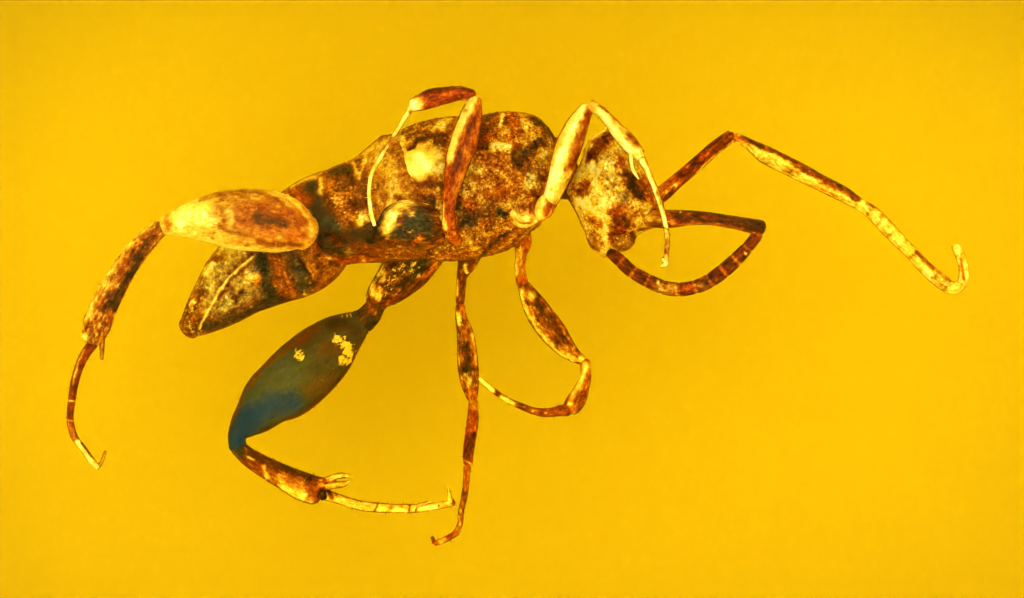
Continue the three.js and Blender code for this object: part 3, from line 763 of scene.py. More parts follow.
FAR_FRONT_LEG = {
    "coxa": [
        (0.03, 0.74, -0.2, 0.26), (0.1, 0.57, -0.32, 0.2), (0.09, 0.45, -0.39, 0.12),
        (0.08, 0.3, -0.42, 0.11), (0.1, 0.17, -0.44, 0.12),
    ],
    "femur": [
        (0.12, 0.13, -0.45, 0.13), (0.21, -0.04, -0.47, 0.23), (0.31, -0.2, -0.49, 0.27),
        (0.41, -0.33, -0.5, 0.27), (0.53, -0.48, -0.5, 0.21), (0.63, -0.57, -0.49, 0.14),
        (0.7, -0.61, -0.48, 0.1),
    ],
    "tibia": [
        (0.73, -0.63, -0.475, 0.1), (0.74, -0.77, -0.46, 0.11), (0.7, -0.9, -0.45, 0.15),
        (0.65, -1.01, -0.44, 0.19), (0.59, -1.09, -0.43, 0.17),
    ],
    "tarsus": [
        (0.55, -1.11, -0.42, 0.13), (0.43, -1.13, -0.41, 0.1), (0.33, -1.14, -0.4, 0.09),
        (0.21, -1.12, -0.39, 0.075), (0.08, -1.07, -0.38, 0.065), (-0.05, -1.01, -0.38, 0.055),
        (-0.17, -0.93, -0.37, 0.055), (-0.27, -0.85, -0.37, 0.05), (-0.32, -0.8, -0.37, 0.05),
    ],
    "spurs": [],
}
FAR_ANTENNA = {
    "scape": [
        (1.38, 0.98, -0.1, 0.16), (1.5, 1.05, -0.18, 0.165), (1.66, 1.19, -0.22, 0.145),
        (1.86, 1.36, -0.26, 0.145), (2.04, 1.52, -0.29, 0.14), (2.19, 1.63, -0.3, 0.13),
    ],
    "flagellum": [
        (2.23, 1.62, -0.3, 0.1), (2.36, 1.56, -0.3, 0.11), (2.53, 1.45, -0.3, 0.18),
        (2.71, 1.36, -0.3, 0.185), (2.91, 1.26, -0.3, 0.18), (3.1, 1.16, -0.29, 0.165),
        (3.3, 1.06, -0.28, 0.16), (3.46, 0.96, -0.27, 0.13), (3.6, 0.87, -0.26, 0.14),
        (3.74, 0.73, -0.25, 0.15), (3.87, 0.59, -0.24, 0.14), (4.01, 0.45, -0.23, 0.13),
        (4.14, 0.31, -0.22, 0.14), (4.28, 0.19, -0.2, 0.15), (4.41, 0.11, -0.18, 0.13),
        (4.51, 0.17, -0.16, 0.11), (4.52, 0.31, -0.14, 0.1), (4.48, 0.44, -0.12, 0.095),
        (4.44, 0.52, -0.1, 0.09),
    ],
}
NEAR_ANTENNA = {
    "scape": [
        (1.3, 0.82, 0.16, 0.16), (1.44, 0.8, 0.27, 0.18), (1.6, 0.8, 0.34, 0.18),
        (1.78, 0.81, 0.37, 0.15), (1.98, 0.8, 0.4, 0.13), (2.18, 0.77, 0.42, 0.13),
        (2.36, 0.735, 0.44, 0.145), (2.48, 0.71, 0.44, 0.16),
    ],
    "flagellum": [
        (2.45, 0.64, 0.44, 0.12), (2.37, 0.54, 0.44, 0.12), (2.26, 0.42, 0.43, 0.14),
        (2.12, 0.29, 0.42, 0.15), (1.93, 0.16, 0.4, 0.145), (1.73, 0.1, 0.38, 0.14),
        (1.54, 0.11, 0.36, 0.14), (1.36, 0.18, 0.35, 0.14), (1.19, 0.28, 0.34, 0.13),
        (1.06, 0.4, 0.34, 0.13), (0.98, 0.46, 0.34, 0.1),
    ],
}


# Brush strokes seen from above, each a row of tone, hue, width, softness and then the stroke's points.
# A row that starts with a word sets that paint instead. A limb's first row is its base: tone, hue, grain.
# Near-white strokes and dots here and in the limbs' marks are painted highlights and glints.
ABDOMEN_MARKS = [
    # The speckled middle plates.
    (0.42, 0.3, 0.42, 0.5, (-1.82, 1.12), (-1.68, 0.9)),
    (0.52, 0.5, 0.12, 0.7, (-1.85, 1.2), (-1.75, 1.05), (-1.7, 0.95), (-1.62, 0.85)),
    (0.32, 0.1, 0.2, 0.6, (-1.52, 1.15), (-1.48, 0.95)),
    (0.3, 0.1, 0.12, 0.6, (-1.72, 1.12), (-1.64, 1.16)),
    (0.36, 0.1, 0.2, 0.5, (-1.45, 1.42), (-1.35, 1.2)),
    ("grain", 0.75, 0.25, 0.5, (-1.75, 1.0), (-1.6, 0.85)),
    # Dark bands and plates.
    ("grain", 0.2, 0.24, 0.5, (-2.0, 1.13), (-1.98, 1.0), (-1.92, 0.85), (-1.9, 0.7), (-1.85, 0.57),
     (-1.5, 0.6)),
    (0.14, -0.5, 0.21, 0.6, (-2.0, 1.13), (-1.98, 1.0), (-1.92, 0.85), (-1.9, 0.7), (-1.85, 0.57),
     (-1.72, 0.5)),
    (0.18, -0.2, 0.14, 0.6, (-1.79, 1.29), (-1.63, 1.27)),
    (0.14, -0.4, 0.2, 0.6, (-1.7, 0.6), (-1.42, 0.62)),
    (0.2, 0.2, 0.1, 0.6, (-1.77, 0.6), (-1.65, 0.58)),
    (0.26, -1.0, 0.1, 0.7, (-1.85, 0.78), (-1.76, 0.72)),
    (0.3, 0.3, 0.14, 0.6, (-1.58, 0.5), (-1.35, 0.46)),
    # Red streaks beside the femur and along the belly.
    (0.4, 0.6, 0.12, 0.6, (-2.24, 1.07), (-2.12, 1.02), (-2.06, 0.98)),
    (0.5, 1.0, 0.04, 0.6, (-2.16, 1.08), (-2.12, 1.0)),
    (0.45, 1.0, 0.06, 0.6, (-1.98, 0.55), (-1.93, 0.45), (-1.85, 0.4), (-1.6, 0.38), (-1.35, 0.4)),
    (0.78, 0.2, 0.03, 0.6, (-1.85, 0.42), (-1.81, 0.4)),
    (0.7, 0.3, 0.03, 0.6, (-1.5, 0.42), (-1.47, 0.38)),
    # Pale seams between the plates, and the pale edge of the back.
    (0.74, 0.0, 0.04, 0.7, (-1.6, 1.44), (-1.56, 1.3), (-1.53, 1.2)),
    (0.68, 0.0, 0.03, 0.7, (-1.45, 1.45), (-1.5, 1.3), (-1.53, 1.2)),
    (0.74, -0.1, 0.05, 0.7, (-1.92, 1.2), (-1.9, 1.12), (-1.92, 1.05)),
    (0.7, -0.1, 0.07, 0.5, (-2.3, 1.1), (-2.0, 1.23), (-1.8, 1.35), (-1.5, 1.45), (-1.3, 1.55),
     (-1.12, 1.62)),
    ("grain", 0.42, 0.3, 0.6, (-1.32, 1.4), (-1.22, 1.2), (-1.22, 0.9)),
    (0.65, 0.0, 0.24, 0.8, (-1.32, 1.4), (-1.22, 1.2), (-1.22, 0.9)),
    (0.42, 0.1, 0.03, 0.8, (-1.36, 1.12), (-1.28, 1.0), (-1.26, 0.88)),
    (0.36, 0.1, 0.05, 0.8, (-1.16, 1.02), (-1.1, 0.98)),
    (0.45, 0.05, 0.05, 0.8, (-1.3, 1.2), (-1.27, 1.0)),
    # A painted highlight, and a pale olive spot.
    (0.97, -0.3, 0.1, 0.9, (-1.485, 0.8),),
    (0.55, -0.6, 0.08, 0.9, (-1.62, 0.47),),
    # Below the femur: the folded plate left of the keel.
    (0.58, -0.4, 0.3, 0.5, (-2.85, 0.42), (-2.92, 0.22), (-3.06, 0.05)),
    (0.33, 0.1, 0.1, 0.6, (-3.1, 0.07), (-3.2, -0.1), (-3.28, -0.22)),
    (0.4, 0.1, 0.06, 0.6, (-2.98, 0.39), (-2.9, 0.42)),
    (0.7, -0.2, 0.12, 0.5, (-2.92, 0.5), (-2.7, 0.47)),
    (0.36, 0.0, 0.12, 0.5, (-3.3, -0.24), (-3.2, -0.32)),
    ("leaf", 0.6, 0.16, 0.5, (-3.15, -0.05), (-3.28, -0.28), (-3.15, -0.32)),
    # Right of the keel: the olive plate.
    (0.25, -0.1, 0.1, 0.5, (-2.6, 0.4), (-2.74, 0.3), (-2.87, 0.12)),
    (0.55, -0.45, 0.24, 0.7, (-2.86, -0.02), (-2.75, 0.13), (-2.62, 0.27)),
    (0.54, -0.5, 0.12, 0.7, (-2.97, -0.12), (-2.85, -0.06), (-2.7, 0.02), (-2.55, 0.05)),
    (0.3, -0.2, 0.05, 0.8, (-2.8, 0.1), (-2.75, 0.0), (-2.68, 0.08)),
    (0.86, 0.0, 0.08, 0.9, (-2.63, 0.19), (-2.57, 0.21)),
    (0.64, 0.9, 0.06, 0.8, (-2.545, 0.17), (-2.53, 0.22)),
    (0.17, -0.4, 0.11, 0.6, (-3.1, -0.28), (-2.9, -0.25), (-2.7, -0.16), (-2.5, -0.08), (-2.35, -0.02)),
    (0.36, -0.2, 0.03, 0.7, (-3.0, -0.2), (-2.8, -0.16), (-2.6, -0.08)),
    # The bright keel, and painted highlights beside it.
    (0.3, 0.0, 0.035, 0.6, (-2.5, 0.44), (-2.66, 0.33), (-2.8, 0.2), (-2.92, 0.02)),
    (0.84, 0.0, 0.026, 0.6, (-2.53, 0.46), (-2.7, 0.33), (-2.85, 0.18), (-2.97, 0.0), (-3.05, -0.15),
     (-3.13, -0.3)),
    (1.0, -0.2, 0.05, 0.8, (-3.05, 0.26), (-2.99, 0.34)),
    (0.92, 0.0, 0.04, 0.7, (-3.21, -0.06), (-3.18, -0.03)),
    # The banded plates towards the belly.
    (0.13, -0.8, 0.13, 0.6, (-2.5, 0.42), (-2.46, 0.25), (-2.43, 0.12), (-2.4, 0.0)),
    (0.38, 0.3, 0.12, 0.6, (-2.37, 0.42), (-2.32, 0.22), (-2.25, 0.06), (-2.21, 0.0)),
    (0.56, 0.5, 0.03, 0.6, (-2.29, 0.34), (-2.2, 0.08)),
    (0.24, -0.6, 0.15, 0.6, (-2.2, 0.42), (-2.12, 0.25), (-2.07, 0.12)),
    (0.12, -0.2, 0.05, 0.6, (-2.11, 0.38), (-2.03, 0.25), (-1.97, 0.15)),
    (0.62, 0.0, 0.02, 0.6, (-2.05, 0.34), (-1.97, 0.2)),
    (0.4, 0.3, 0.16, 0.5, (-1.94, 0.42), (-1.89, 0.25), (-1.86, 0.15)),
    (0.2, 0.1, 0.05, 0.6, (-1.8, 0.36), (-1.74, 0.34)),
    (0.92, 0.0, 0.035, 0.7, (-2.07, 0.05)),
    (0.1, 0.0, 0.06, 0.6, (-2.3, -0.02), (-2.24, -0.03)),
]
THORAX_MARKS = [
    # Brown and gold plates behind the pale dome.
    ("grain", 0.45, 0.5, 0.6, (-1.25, 1.45), (-1.15, 1.1)),
    (0.64, 0.0, 0.45, 0.6, (-1.25, 1.35), (-1.15, 1.1)),
    (0.3, 0.1, 0.13, 0.6, (-1.26, 1.3), (-1.22, 1.26)),
    (0.38, 0.0, 0.07, 0.6, (-1.21, 1.42), (-1.2, 1.36)),
    (0.38, 0.0, 0.06, 0.7, (-1.25, 1.05), (-1.15, 1.09), (-1.08, 1.07)),
    (0.7, -0.15, 0.12, 0.7, (-1.32, 1.5), (-1.15, 1.57), (-1.05, 1.64)),
    (0.74, 0.0, 0.08, 0.9, (-1.12, 1.5), (-1.06, 1.6), (-0.95, 1.68), (-0.8, 1.72), (-0.63, 1.79)),
    (0.3, 0.0, 0.022, 0.7, (-1.1, 1.66), (-0.95, 1.71), (-0.78, 1.76), (-0.6, 1.85), (-0.5, 1.88)),
    (0.3, 0.1, 0.055, 0.7, (-1.04, 1.63), (-0.92, 1.68), (-0.8, 1.69)),
    # The pale dome, a painted highlight on a smooth plate, with its dark arc above.
    ("grain", 0.16, 0.36, 0.5, (-0.97, 1.34), (-0.86, 1.37)),
    (0.62, -0.1, 0.42, 0.9, (-0.95, 1.35), (-0.88, 1.36)),
    (0.82, 0.0, 0.26, 0.9, (-0.95, 1.35), (-0.88, 1.36)),
    (0.9, 0.0, 0.15, 0.9, (-0.95, 1.34), (-0.88, 1.36)),
    (1.0, -0.2, 0.08, 0.9, (-0.92, 1.39), (-0.88, 1.38)),
    (0.9, 0.0, 0.05, 0.9, (-1.02, 1.3), (-0.99, 1.24)),
    (0.7, -0.3, 0.1, 0.8, (-0.74, 1.48), (-0.72, 1.3)),
    (0.14, 0.0, 0.04, 0.6, (-1.03, 1.49), (-0.96, 1.57), (-0.87, 1.62), (-0.8, 1.625)),
    (0.24, 0.1, 0.09, 0.6, (-0.79, 1.6), (-0.68, 1.6)),
    (0.74, -0.1, 0.06, 0.7, (-0.87, 1.53), (-0.82, 1.56)),
    (0.8, 0.0, 0.1, 0.6, (-0.74, 1.73), (-0.66, 1.76)),
    (0.45, 0.3, 0.08, 0.6, (-0.6, 1.74), (-0.55, 1.8)),
    # Speckled bands below the dome.
    (0.24, 0.2, 0.07, 0.6, (-1.09, 1.17), (-0.96, 1.14), (-0.8, 1.16), (-0.7, 1.13)),
    (0.54, 0.1, 0.06, 0.7, (-1.1, 1.11), (-0.9, 1.08), (-0.74, 1.08)),
    (0.4, 0.5, 0.08, 0.7, (-0.95, 1.05), (-0.82, 1.03)),
    (0.17, -0.5, 0.12, 0.7, (-0.95, 0.98), (-0.8, 0.93), (-0.75, 0.86)),
    (0.52, 0.4, 0.07, 0.7, (-1.04, 1.03), (-1.02, 0.98)),
    (0.7, 0.1, 0.06, 0.7, (-0.73, 0.95), (-0.69, 0.78), (-0.67, 0.66)),
    # Painted shade in the dark hollows of the thorax's side.
    (0.16, -0.4, 0.11, 0.6, (-0.54, 1.02), (-0.54, 0.9)),
    (0.2, -0.3, 0.16, 0.7, (-0.48, 0.73), (-0.35, 0.85)),
    (0.24, -0.2, 0.13, 0.8, (-0.32, 0.92), (-0.2, 0.96)),
    (0.3, 0.3, 0.15, 0.8, (-0.28, 1.8), (-0.25, 1.65)),
    (0.36, 0.9, 0.05, 0.7, (-0.28, 1.67), (-0.23, 1.66)),
    (0.3, 0.3, 0.16, 0.9, (-0.35, 1.6), (-0.32, 1.45)),
    (0.15, -0.3, 0.1, 0.7, (0.31, 1.58), (0.26, 1.6), (0.2, 1.5), (0.1, 1.48)),
    (0.17, 0.0, 0.07, 0.7, (0.22, 1.8), (0.36, 1.71), (0.43, 1.62)),
    (0.14, -0.2, 0.13, 0.8, (0.0, 1.4), (0.05, 1.35)),
    (0.24, -0.1, 0.1, 0.8, (0.1, 1.42), (0.2, 1.45)),
    (0.15, 0.0, 0.08, 0.7, (-0.15, 1.12), (-0.12, 1.13)),
    (0.15, 0.1, 0.07, 0.7, (0.15, 1.04), (0.24, 1.01)),
    (0.04, -0.8, 0.08, 0.5, (-0.11, 0.88), (-0.1, 0.85)),
    (0.12, 0.0, 0.06, 0.7, (0.07, 1.71), (0.08, 1.68)),
    (0.27, 0.2, 0.1, 0.8, (0.22, 1.3), (0.28, 1.22)),
    (0.3, 0.2, 0.12, 0.8, (-0.2, 0.82), (-0.22, 0.68)),
    # Gold and orange patches, and rust-red ones between them.
    (0.44, 0.7, 0.16, 0.9, (-0.28, 1.36), (-0.1, 1.34)),
    (0.42, 0.8, 0.14, 0.9, (-0.12, 1.08), (0.02, 1.14)),
    (0.44, 0.7, 0.12, 0.9, (-0.42, 0.94), (-0.3, 1.02)),
    (0.42, 0.8, 0.1, 0.9, (0.18, 1.0), (0.12, 0.9)),
    (0.42, 0.8, 0.1, 0.9, (-0.5, 0.62), (-0.4, 0.5)),
    (0.42, 0.6, 0.14, 0.9, (-0.2, 1.62), (0.0, 1.6)),
    (0.58, 0.1, 0.15, 0.9, (-0.45, 1.25), (-0.3, 1.3)),
    (0.54, 0.15, 0.15, 0.9, (-0.45, 1.08), (-0.3, 1.05)),
    (0.5, 0.3, 0.17, 0.9, (-0.25, 1.2), (-0.1, 1.25)),
    (0.46, 0.4, 0.12, 0.9, (-0.22, 1.4), (-0.1, 1.43)),
    (0.46, 0.3, 0.13, 0.9, (0.05, 1.1), (0.0, 1.25)),
    (0.52, 0.1, 0.12, 0.9, (0.1, 1.0), (-0.05, 0.96)),
    (0.74, 0.0, 0.018, 0.6, (-0.4, 1.22), (-0.28, 1.31)),
    (0.62, 0.05, 0.11, 0.8, (0.1, 1.76), (0.22, 1.64), (0.15, 1.58)),
    (0.5, 0.1, 0.08, 0.8, (0.36, 1.6), (0.38, 1.52)),
    (0.68, 0.05, 0.05, 0.8, (-0.08, 1.62), (-0.03, 1.7)),
    (0.52, 0.0, 0.1, 0.8, (-0.48, 1.4), (-0.42, 1.25)),
    (0.6, 0.2, 0.07, 0.8, (-0.06, 0.68), (-0.02, 0.66)),
    # Painted highlights seen through the amber, as glints and pale spots, and flakes of painted gold glint.
    (1.0, 0.0, 0.03, 0.6, (-0.08, 1.86), (-0.1, 1.8), (-0.12, 1.72)),
    (0.4, 0.9, 0.09, 0.7, (-0.02, 1.84), (0.03, 1.72)),
    (0.84, -0.3, 0.09, 1.0, (-0.17, 1.51), (-0.06, 1.52)),
    (0.66, -0.3, 0.11, 1.0, (0.3, 1.42), (0.33, 1.44)),
    (0.62, -0.4, 0.11, 1.0, (0.18, 1.13), (0.2, 1.22)),
    (0.56, -0.2, 0.08, 1.0, (0.25, 1.32), (0.27, 1.34)),
    ("leaf", 0.55, 0.14, 0.6, (-0.05, 1.55), (0.2, 1.7), (0.38, 1.56)),
    ("leaf", 0.5, 0.4, 0.6, (-0.42, 1.15), (-0.1, 1.2)),
    ("leaf", 0.5, 0.2, 0.6, (-0.5, 0.55), (-0.1, 0.75), (0.1, 0.95)),
    ("leaf", 0.45, 0.2, 0.6, (-1.05, 1.1), (-0.75, 1.05)),
    # The speckled lower edge.
    (0.5, 0.2, 0.14, 0.8, (-0.45, 0.63), (-0.3, 0.62), (-0.18, 0.72)),
    (0.58, 0.1, 0.1, 0.8, (-0.52, 0.55), (-0.36, 0.5)),
    (0.36, 0.15, 0.12, 0.6, (-0.68, 0.5), (-0.55, 0.45)),
    (0.34, 0.2, 0.12, 0.6, (-1.1, 0.5), (-0.8, 0.5)),
    (0.12, 0.0, 0.04, 0.6, (-0.42, 0.27), (-0.33, 0.38), (-0.25, 0.5), (-0.12, 0.61), (-0.03, 0.66)),
    (0.66, 0.0, 0.07, 0.8, (-0.48, 0.36), (-0.44, 0.32)),
]
HEAD_MARKS = [
    # The dark crown, and a painted highlight in the bright arc round it.
    (0.27, 0.5, 0.14, 0.5, (0.78, 1.42), (0.85, 1.5), (0.95, 1.62)),
    (0.34, 0.3, 0.08, 0.7, (0.88, 1.44), (0.93, 1.5)),
    (0.84, 0.0, 0.04, 0.6, (0.7, 1.32), (0.72, 1.45), (0.78, 1.58), (0.87, 1.66), (0.97, 1.71)),
    (0.84, 0.0, 0.1, 0.8, (0.76, 1.28), (0.86, 1.3), (0.97, 1.32)),
    (1.0, -0.2, 0.06, 0.9, (0.8, 1.33)),
    (0.6, -0.1, 0.12, 0.8, (0.94, 1.42), (1.02, 1.46)),
    # Behind the eye: painted highlights on the head's lit left side, and red-brown marks.
    (0.56, 0.5, 0.07, 0.7, (0.58, 1.24), (0.58, 1.15)),
    (0.84, 0.0, 0.06, 0.7, (0.66, 1.3), (0.66, 1.18)),
    (0.8, 0.0, 0.03, 0.6, (0.7, 1.26), (0.79, 1.16)),
    (0.3, 0.6, 0.1, 0.7, (0.66, 1.09), (0.76, 1.12)),
    (0.74, 0.0, 0.03, 0.6, (0.65, 1.11)),
    (0.78, -0.1, 0.14, 0.8, (0.84, 1.05), (0.86, 1.14)),
    (0.96, 0.0, 0.08, 0.8, (0.69, 0.96), (0.79, 0.91), (0.84, 0.88)),
    (1.0, -0.2, 0.04, 0.8, (0.78, 0.915)),
    (0.82, 0.0, 0.08, 0.8, (0.9, 1.12), (0.9, 0.9), (0.91, 0.75), (0.92, 0.62)),
    (0.9, 0.0, 0.08, 0.7, (0.92, 0.6), (0.92, 0.5)),
    (0.3, 0.2, 0.03, 0.6, (0.53, 1.06), (0.6, 0.93), (0.67, 0.78), (0.73, 0.64), (0.78, 0.53), (0.87, 0.48)),
    (0.52, 0.4, 0.1, 0.8, (0.8, 0.63), (0.87, 0.55)),
    (0.48, 0.5, 0.07, 0.8, (0.8, 0.79), (0.86, 0.74)),
    (0.95, 0.0, 0.03, 0.6, (0.75, 0.63)),
    # The granular face, painted shade in its dark hollows, and its red-brown front.
    (0.62, -0.1, 0.2, 0.8, (1.0, 1.22), (1.05, 1.1)),
    (0.36, 0.4, 0.09, 0.7, (1.09, 1.4), (1.12, 1.3), (1.15, 1.23)),
    (0.13, 0.1, 0.15, 0.6, (1.2, 1.18), (1.25, 1.1), (1.29, 1.04)),
    (0.4, 0.7, 0.1, 0.7, (1.33, 1.18), (1.38, 1.02)),
    (0.42, 0.9, 0.07, 0.6, (1.42, 1.0), (1.43, 0.94)),
    (0.6, -0.5, 0.1, 0.8, (1.12, 1.03), (1.15, 0.97)),
    (0.76, 0.0, 0.09, 0.8, (1.27, 0.94), (1.33, 0.9), (1.35, 0.85)),
    (0.55, 0.1, 0.1, 0.8, (1.2, 0.93), (1.24, 0.84), (1.37, 0.76)),
    (0.18, 0.4, 0.09, 0.6, (1.43, 0.86), (1.46, 0.78)),
    (0.32, 0.7, 0.15, 0.6, (1.06, 0.86), (1.1, 0.77), (1.04, 0.65)),
    (0.14, 0.1, 0.06, 0.7, (1.11, 0.8), (1.16, 0.75)),
    (0.36, 0.9, 0.08, 0.6, (1.0, 0.65), (1.05, 0.58)),
    (0.5, 0.4, 0.05, 0.8, (1.15, 0.92), (1.2, 0.82), (1.21, 0.72)),
    (0.5, -0.1, 0.11, 0.8, (1.08, 0.56), (1.16, 0.55)),
    (0.86, 0.0, 0.03, 0.6, (1.07, 0.55)),
    (0.86, 0.0, 0.025, 0.6, (1.15, 0.6)),
    (0.22, 0.1, 0.05, 0.6, (1.2, 0.64), (1.23, 0.58)),
    (0.3, 0.2, 0.025, 0.6, (1.25, 0.69), (1.4, 0.71), (1.5, 0.74)),
]
# On the near front leg, the femur's pale band down its left side and the near-white streaks and dots are
# painted highlights.
NEAR_FRONT_MARKS = {
    "coxa": [
        (0.48, 0.25, 0.4),
        (0.7, 0.0, 0.12, 0.9, (0.0, 0.84), (0.1, 0.79), (0.2, 0.8)),
        (0.92, 0.0, 0.05, 0.9, (-0.02, 0.87), (0.02, 0.85)),
        (0.5, 0.3, 0.014, 0.6, (0.0, 0.79), (0.08, 0.755), (0.18, 0.76)),
        (0.84, 0.0, 0.03, 0.9, (0.02, 0.77), (0.1, 0.73), (0.18, 0.73), (0.25, 0.78)),
        (0.32, 0.5, 0.08, 0.7, (0.12, 0.93), (0.2, 0.9)),
        (0.66, 0.0, 0.05, 0.7, (0.02, 0.95), (0.1, 0.98)),
        (0.45, 0.8, 0.04, 0.7, (0.2, 0.79)),
    ],
    "trochanter": [
        (0.6, 0.4, 0.2),
        (0.84, 0.0, 0.1, 0.6, (0.27, 0.82), (0.28, 0.92), (0.31, 1.0)),
        (0.93, 0.0, 0.03, 0.6, (0.3, 0.98), (0.33, 0.95)),
        (0.4, 0.8, 0.08, 0.6, (0.36, 0.86), (0.4, 0.98)),
    ],
    "femur": [
        (0.7, 0.0, 0.16),
        (0.64, 0.1, 0.1, 0.9, (0.52, 1.2), (0.58, 1.35)),
        (0.9, 0.0, 0.12, 0.9, (0.36, 1.05), (0.42, 1.22), (0.48, 1.4), (0.54, 1.55), (0.62, 1.75),
         (0.7, 1.9)),
        (1.0, 0.0, 0.08, 0.7, (0.345, 1.05), (0.38, 1.15), (0.43, 1.26)),
        (1.0, 0.0, 0.06, 0.7, (0.43, 1.31), (0.47, 1.4), (0.5, 1.47)),
        (0.54, 0.3, 0.05, 0.9, (0.69, 1.76), (0.63, 1.6), (0.6, 1.45), (0.575, 1.33)),
        (0.38, 0.6, 0.07, 0.6, (0.79, 1.9), (0.755, 1.83), (0.72, 1.7), (0.68, 1.56), (0.645, 1.43),
         (0.605, 1.32)),
        (0.32, 0.9, 0.03, 0.8, (0.76, 1.83), (0.745, 1.76)),
        (0.3, 0.6, 0.03, 0.8, (0.65, 1.43), (0.62, 1.35)),
        (0.5, 0.9, 0.06, 0.6, (0.78, 1.91), (0.83, 1.88)),
        (0.82, 0.0, 0.03, 0.6, (0.7, 1.94), (0.78, 1.95)),
    ],
    "tibia": [
        (0.7, 0.05, 0.2),
        (0.93, 0.0, 0.07, 0.8, (0.87, 1.87), (0.95, 1.78), (1.0, 1.69), (1.06, 1.61), (1.12, 1.55)),
        (1.0, -0.1, 0.065, 0.8, (1.12, 1.54), (1.17, 1.48)),
        (0.42, 0.2, 0.03, 0.7, (0.87, 1.935), (1.0, 1.83), (1.12, 1.72)),
        (0.36, 0.3, 0.06, 0.6, (1.18, 1.63), (1.24, 1.57), (1.31, 1.48)),
        (0.6, 0.4, 0.05, 0.8, (1.16, 1.6), (1.2, 1.57)),
        (0.84, 0.0, 0.05, 0.7, (1.2, 1.5), (1.28, 1.48)),
        (1.0, 0.0, 0.06, 0.6, (1.28, 1.4), (1.3, 1.36)),
    ],
    "tarsus": [
        (0.8, 0.0, 0.25),
        (0.95, 0.0, 0.035, 0.6, (1.27, 1.42), (1.34, 1.3), (1.41, 1.1), (1.465, 0.95), (1.51, 0.83),
         (1.535, 0.72)),
        (0.62, 0.1, 0.03, 0.7, (1.4, 1.22), (1.47, 1.05), (1.53, 0.85)),
        (0.6, 0.2, 0.06, 0.7, (1.55, 0.66), (1.545, 0.42)),
        (0.36, 0.3, 0.028, 0.6, (1.515, 0.5), (1.53, 0.46)),
        (0.45, 0.4, 0.02, 0.6, (1.52, 0.71), (1.57, 0.69)),
        (1.0, 0.0, 0.045, 0.6, (1.53, 0.335), (1.55, 0.35)),
    ],
    "spurs": [(0.88, 0.0, 0.1)],
}
# On the near middle leg, the near-white streaks and dots are painted highlights, and its flakes painted
# glints.
NEAR_MIDDLE_MARKS = {
    "coxa": [(0.42, 0.9, 0.4)],
    "femur": [
        (0.45, 0.85, 0.25),
        (0.5, 0.7, 0.12, 0.7, (-0.54, 1.1), (-0.48, 1.4), (-0.4, 1.7), (-0.33, 1.9), (-0.32, 2.0)),
        (0.76, 0.0, 0.1, 0.5, (-0.63, 1.4), (-0.58, 1.6), (-0.5, 1.78), (-0.43, 1.92), (-0.385, 2.02)),
        ("leaf", 0.75, 0.1, 0.5, (-0.62, 1.4), (-0.57, 1.6), (-0.5, 1.78), (-0.43, 1.92), (-0.385, 2.02)),
        (0.88, 0.0, 0.03, 0.6, (-0.6, 1.5), (-0.55, 1.68), (-0.48, 1.84)),
        (0.92, 0.0, 0.04, 0.8, (-0.655, 1.45), (-0.64, 1.42)),
        (0.24, 0.5, 0.05, 0.9, (-0.6, 1.15), (-0.57, 1.3), (-0.5, 1.5), (-0.43, 1.67), (-0.38, 1.8)),
        (0.3, 0.7, 0.06, 0.8, (-0.6, 1.3), (-0.61, 1.15)),
        (0.42, 0.95, 0.05, 0.8, (-0.66, 1.33), (-0.66, 1.2), (-0.66, 1.05)),
        (0.38, 0.95, 0.08, 0.8, (-0.62, 1.02), (-0.62, 0.8)),
        (0.78, 0.1, 0.035, 0.7, (-0.695, 0.97), (-0.69, 0.85), (-0.67, 0.72)),
        (0.9, 0.0, 0.03, 0.7, (-0.67, 0.7), (-0.65, 0.7)),
        (0.5, 0.95, 0.07, 0.7, (-0.6, 0.68), (-0.55, 0.66)),
    ],
    "tibia": [
        (0.38, 1.0, 0.25),
        (0.24, 0.7, 0.05, 0.8, (-0.42, 2.09), (-0.6, 2.1), (-0.8, 2.075), (-0.88, 2.03)),
        (0.28, 0.9, 0.03, 0.7, (-0.5, 2.0), (-0.7, 1.96)),
        (0.44, 0.95, 0.05, 0.9, (-0.5, 2.05), (-0.75, 2.03)),
        (0.54, 0.8, 0.08, 0.7, (-0.9, 1.99), (-0.93, 1.92)),
        (0.9, 0.0, 0.1, 0.6, (-0.97, 1.96), (-0.96, 1.9)),
        (1.0, -0.1, 0.05, 0.7, (-1.0, 1.96), (-1.0, 1.93)),
    ],
    "tarsus": [
        (0.84, 0.0, 0.15),
        (0.98, 0.0, 0.03, 0.7, (-1.41, 0.95), (-1.38, 0.74)),
        (0.6, 0.2, 0.05, 0.7, (-1.2, 1.6), (-1.26, 1.5)),
        (0.66, 0.1, 0.05, 0.7, (-1.36, 1.33)),
        (0.5, 0.6, 0.03, 0.6, (-1.01, 1.86)),
    ],
    "spurs": [(0.8, 0.0, 0.1)],
}
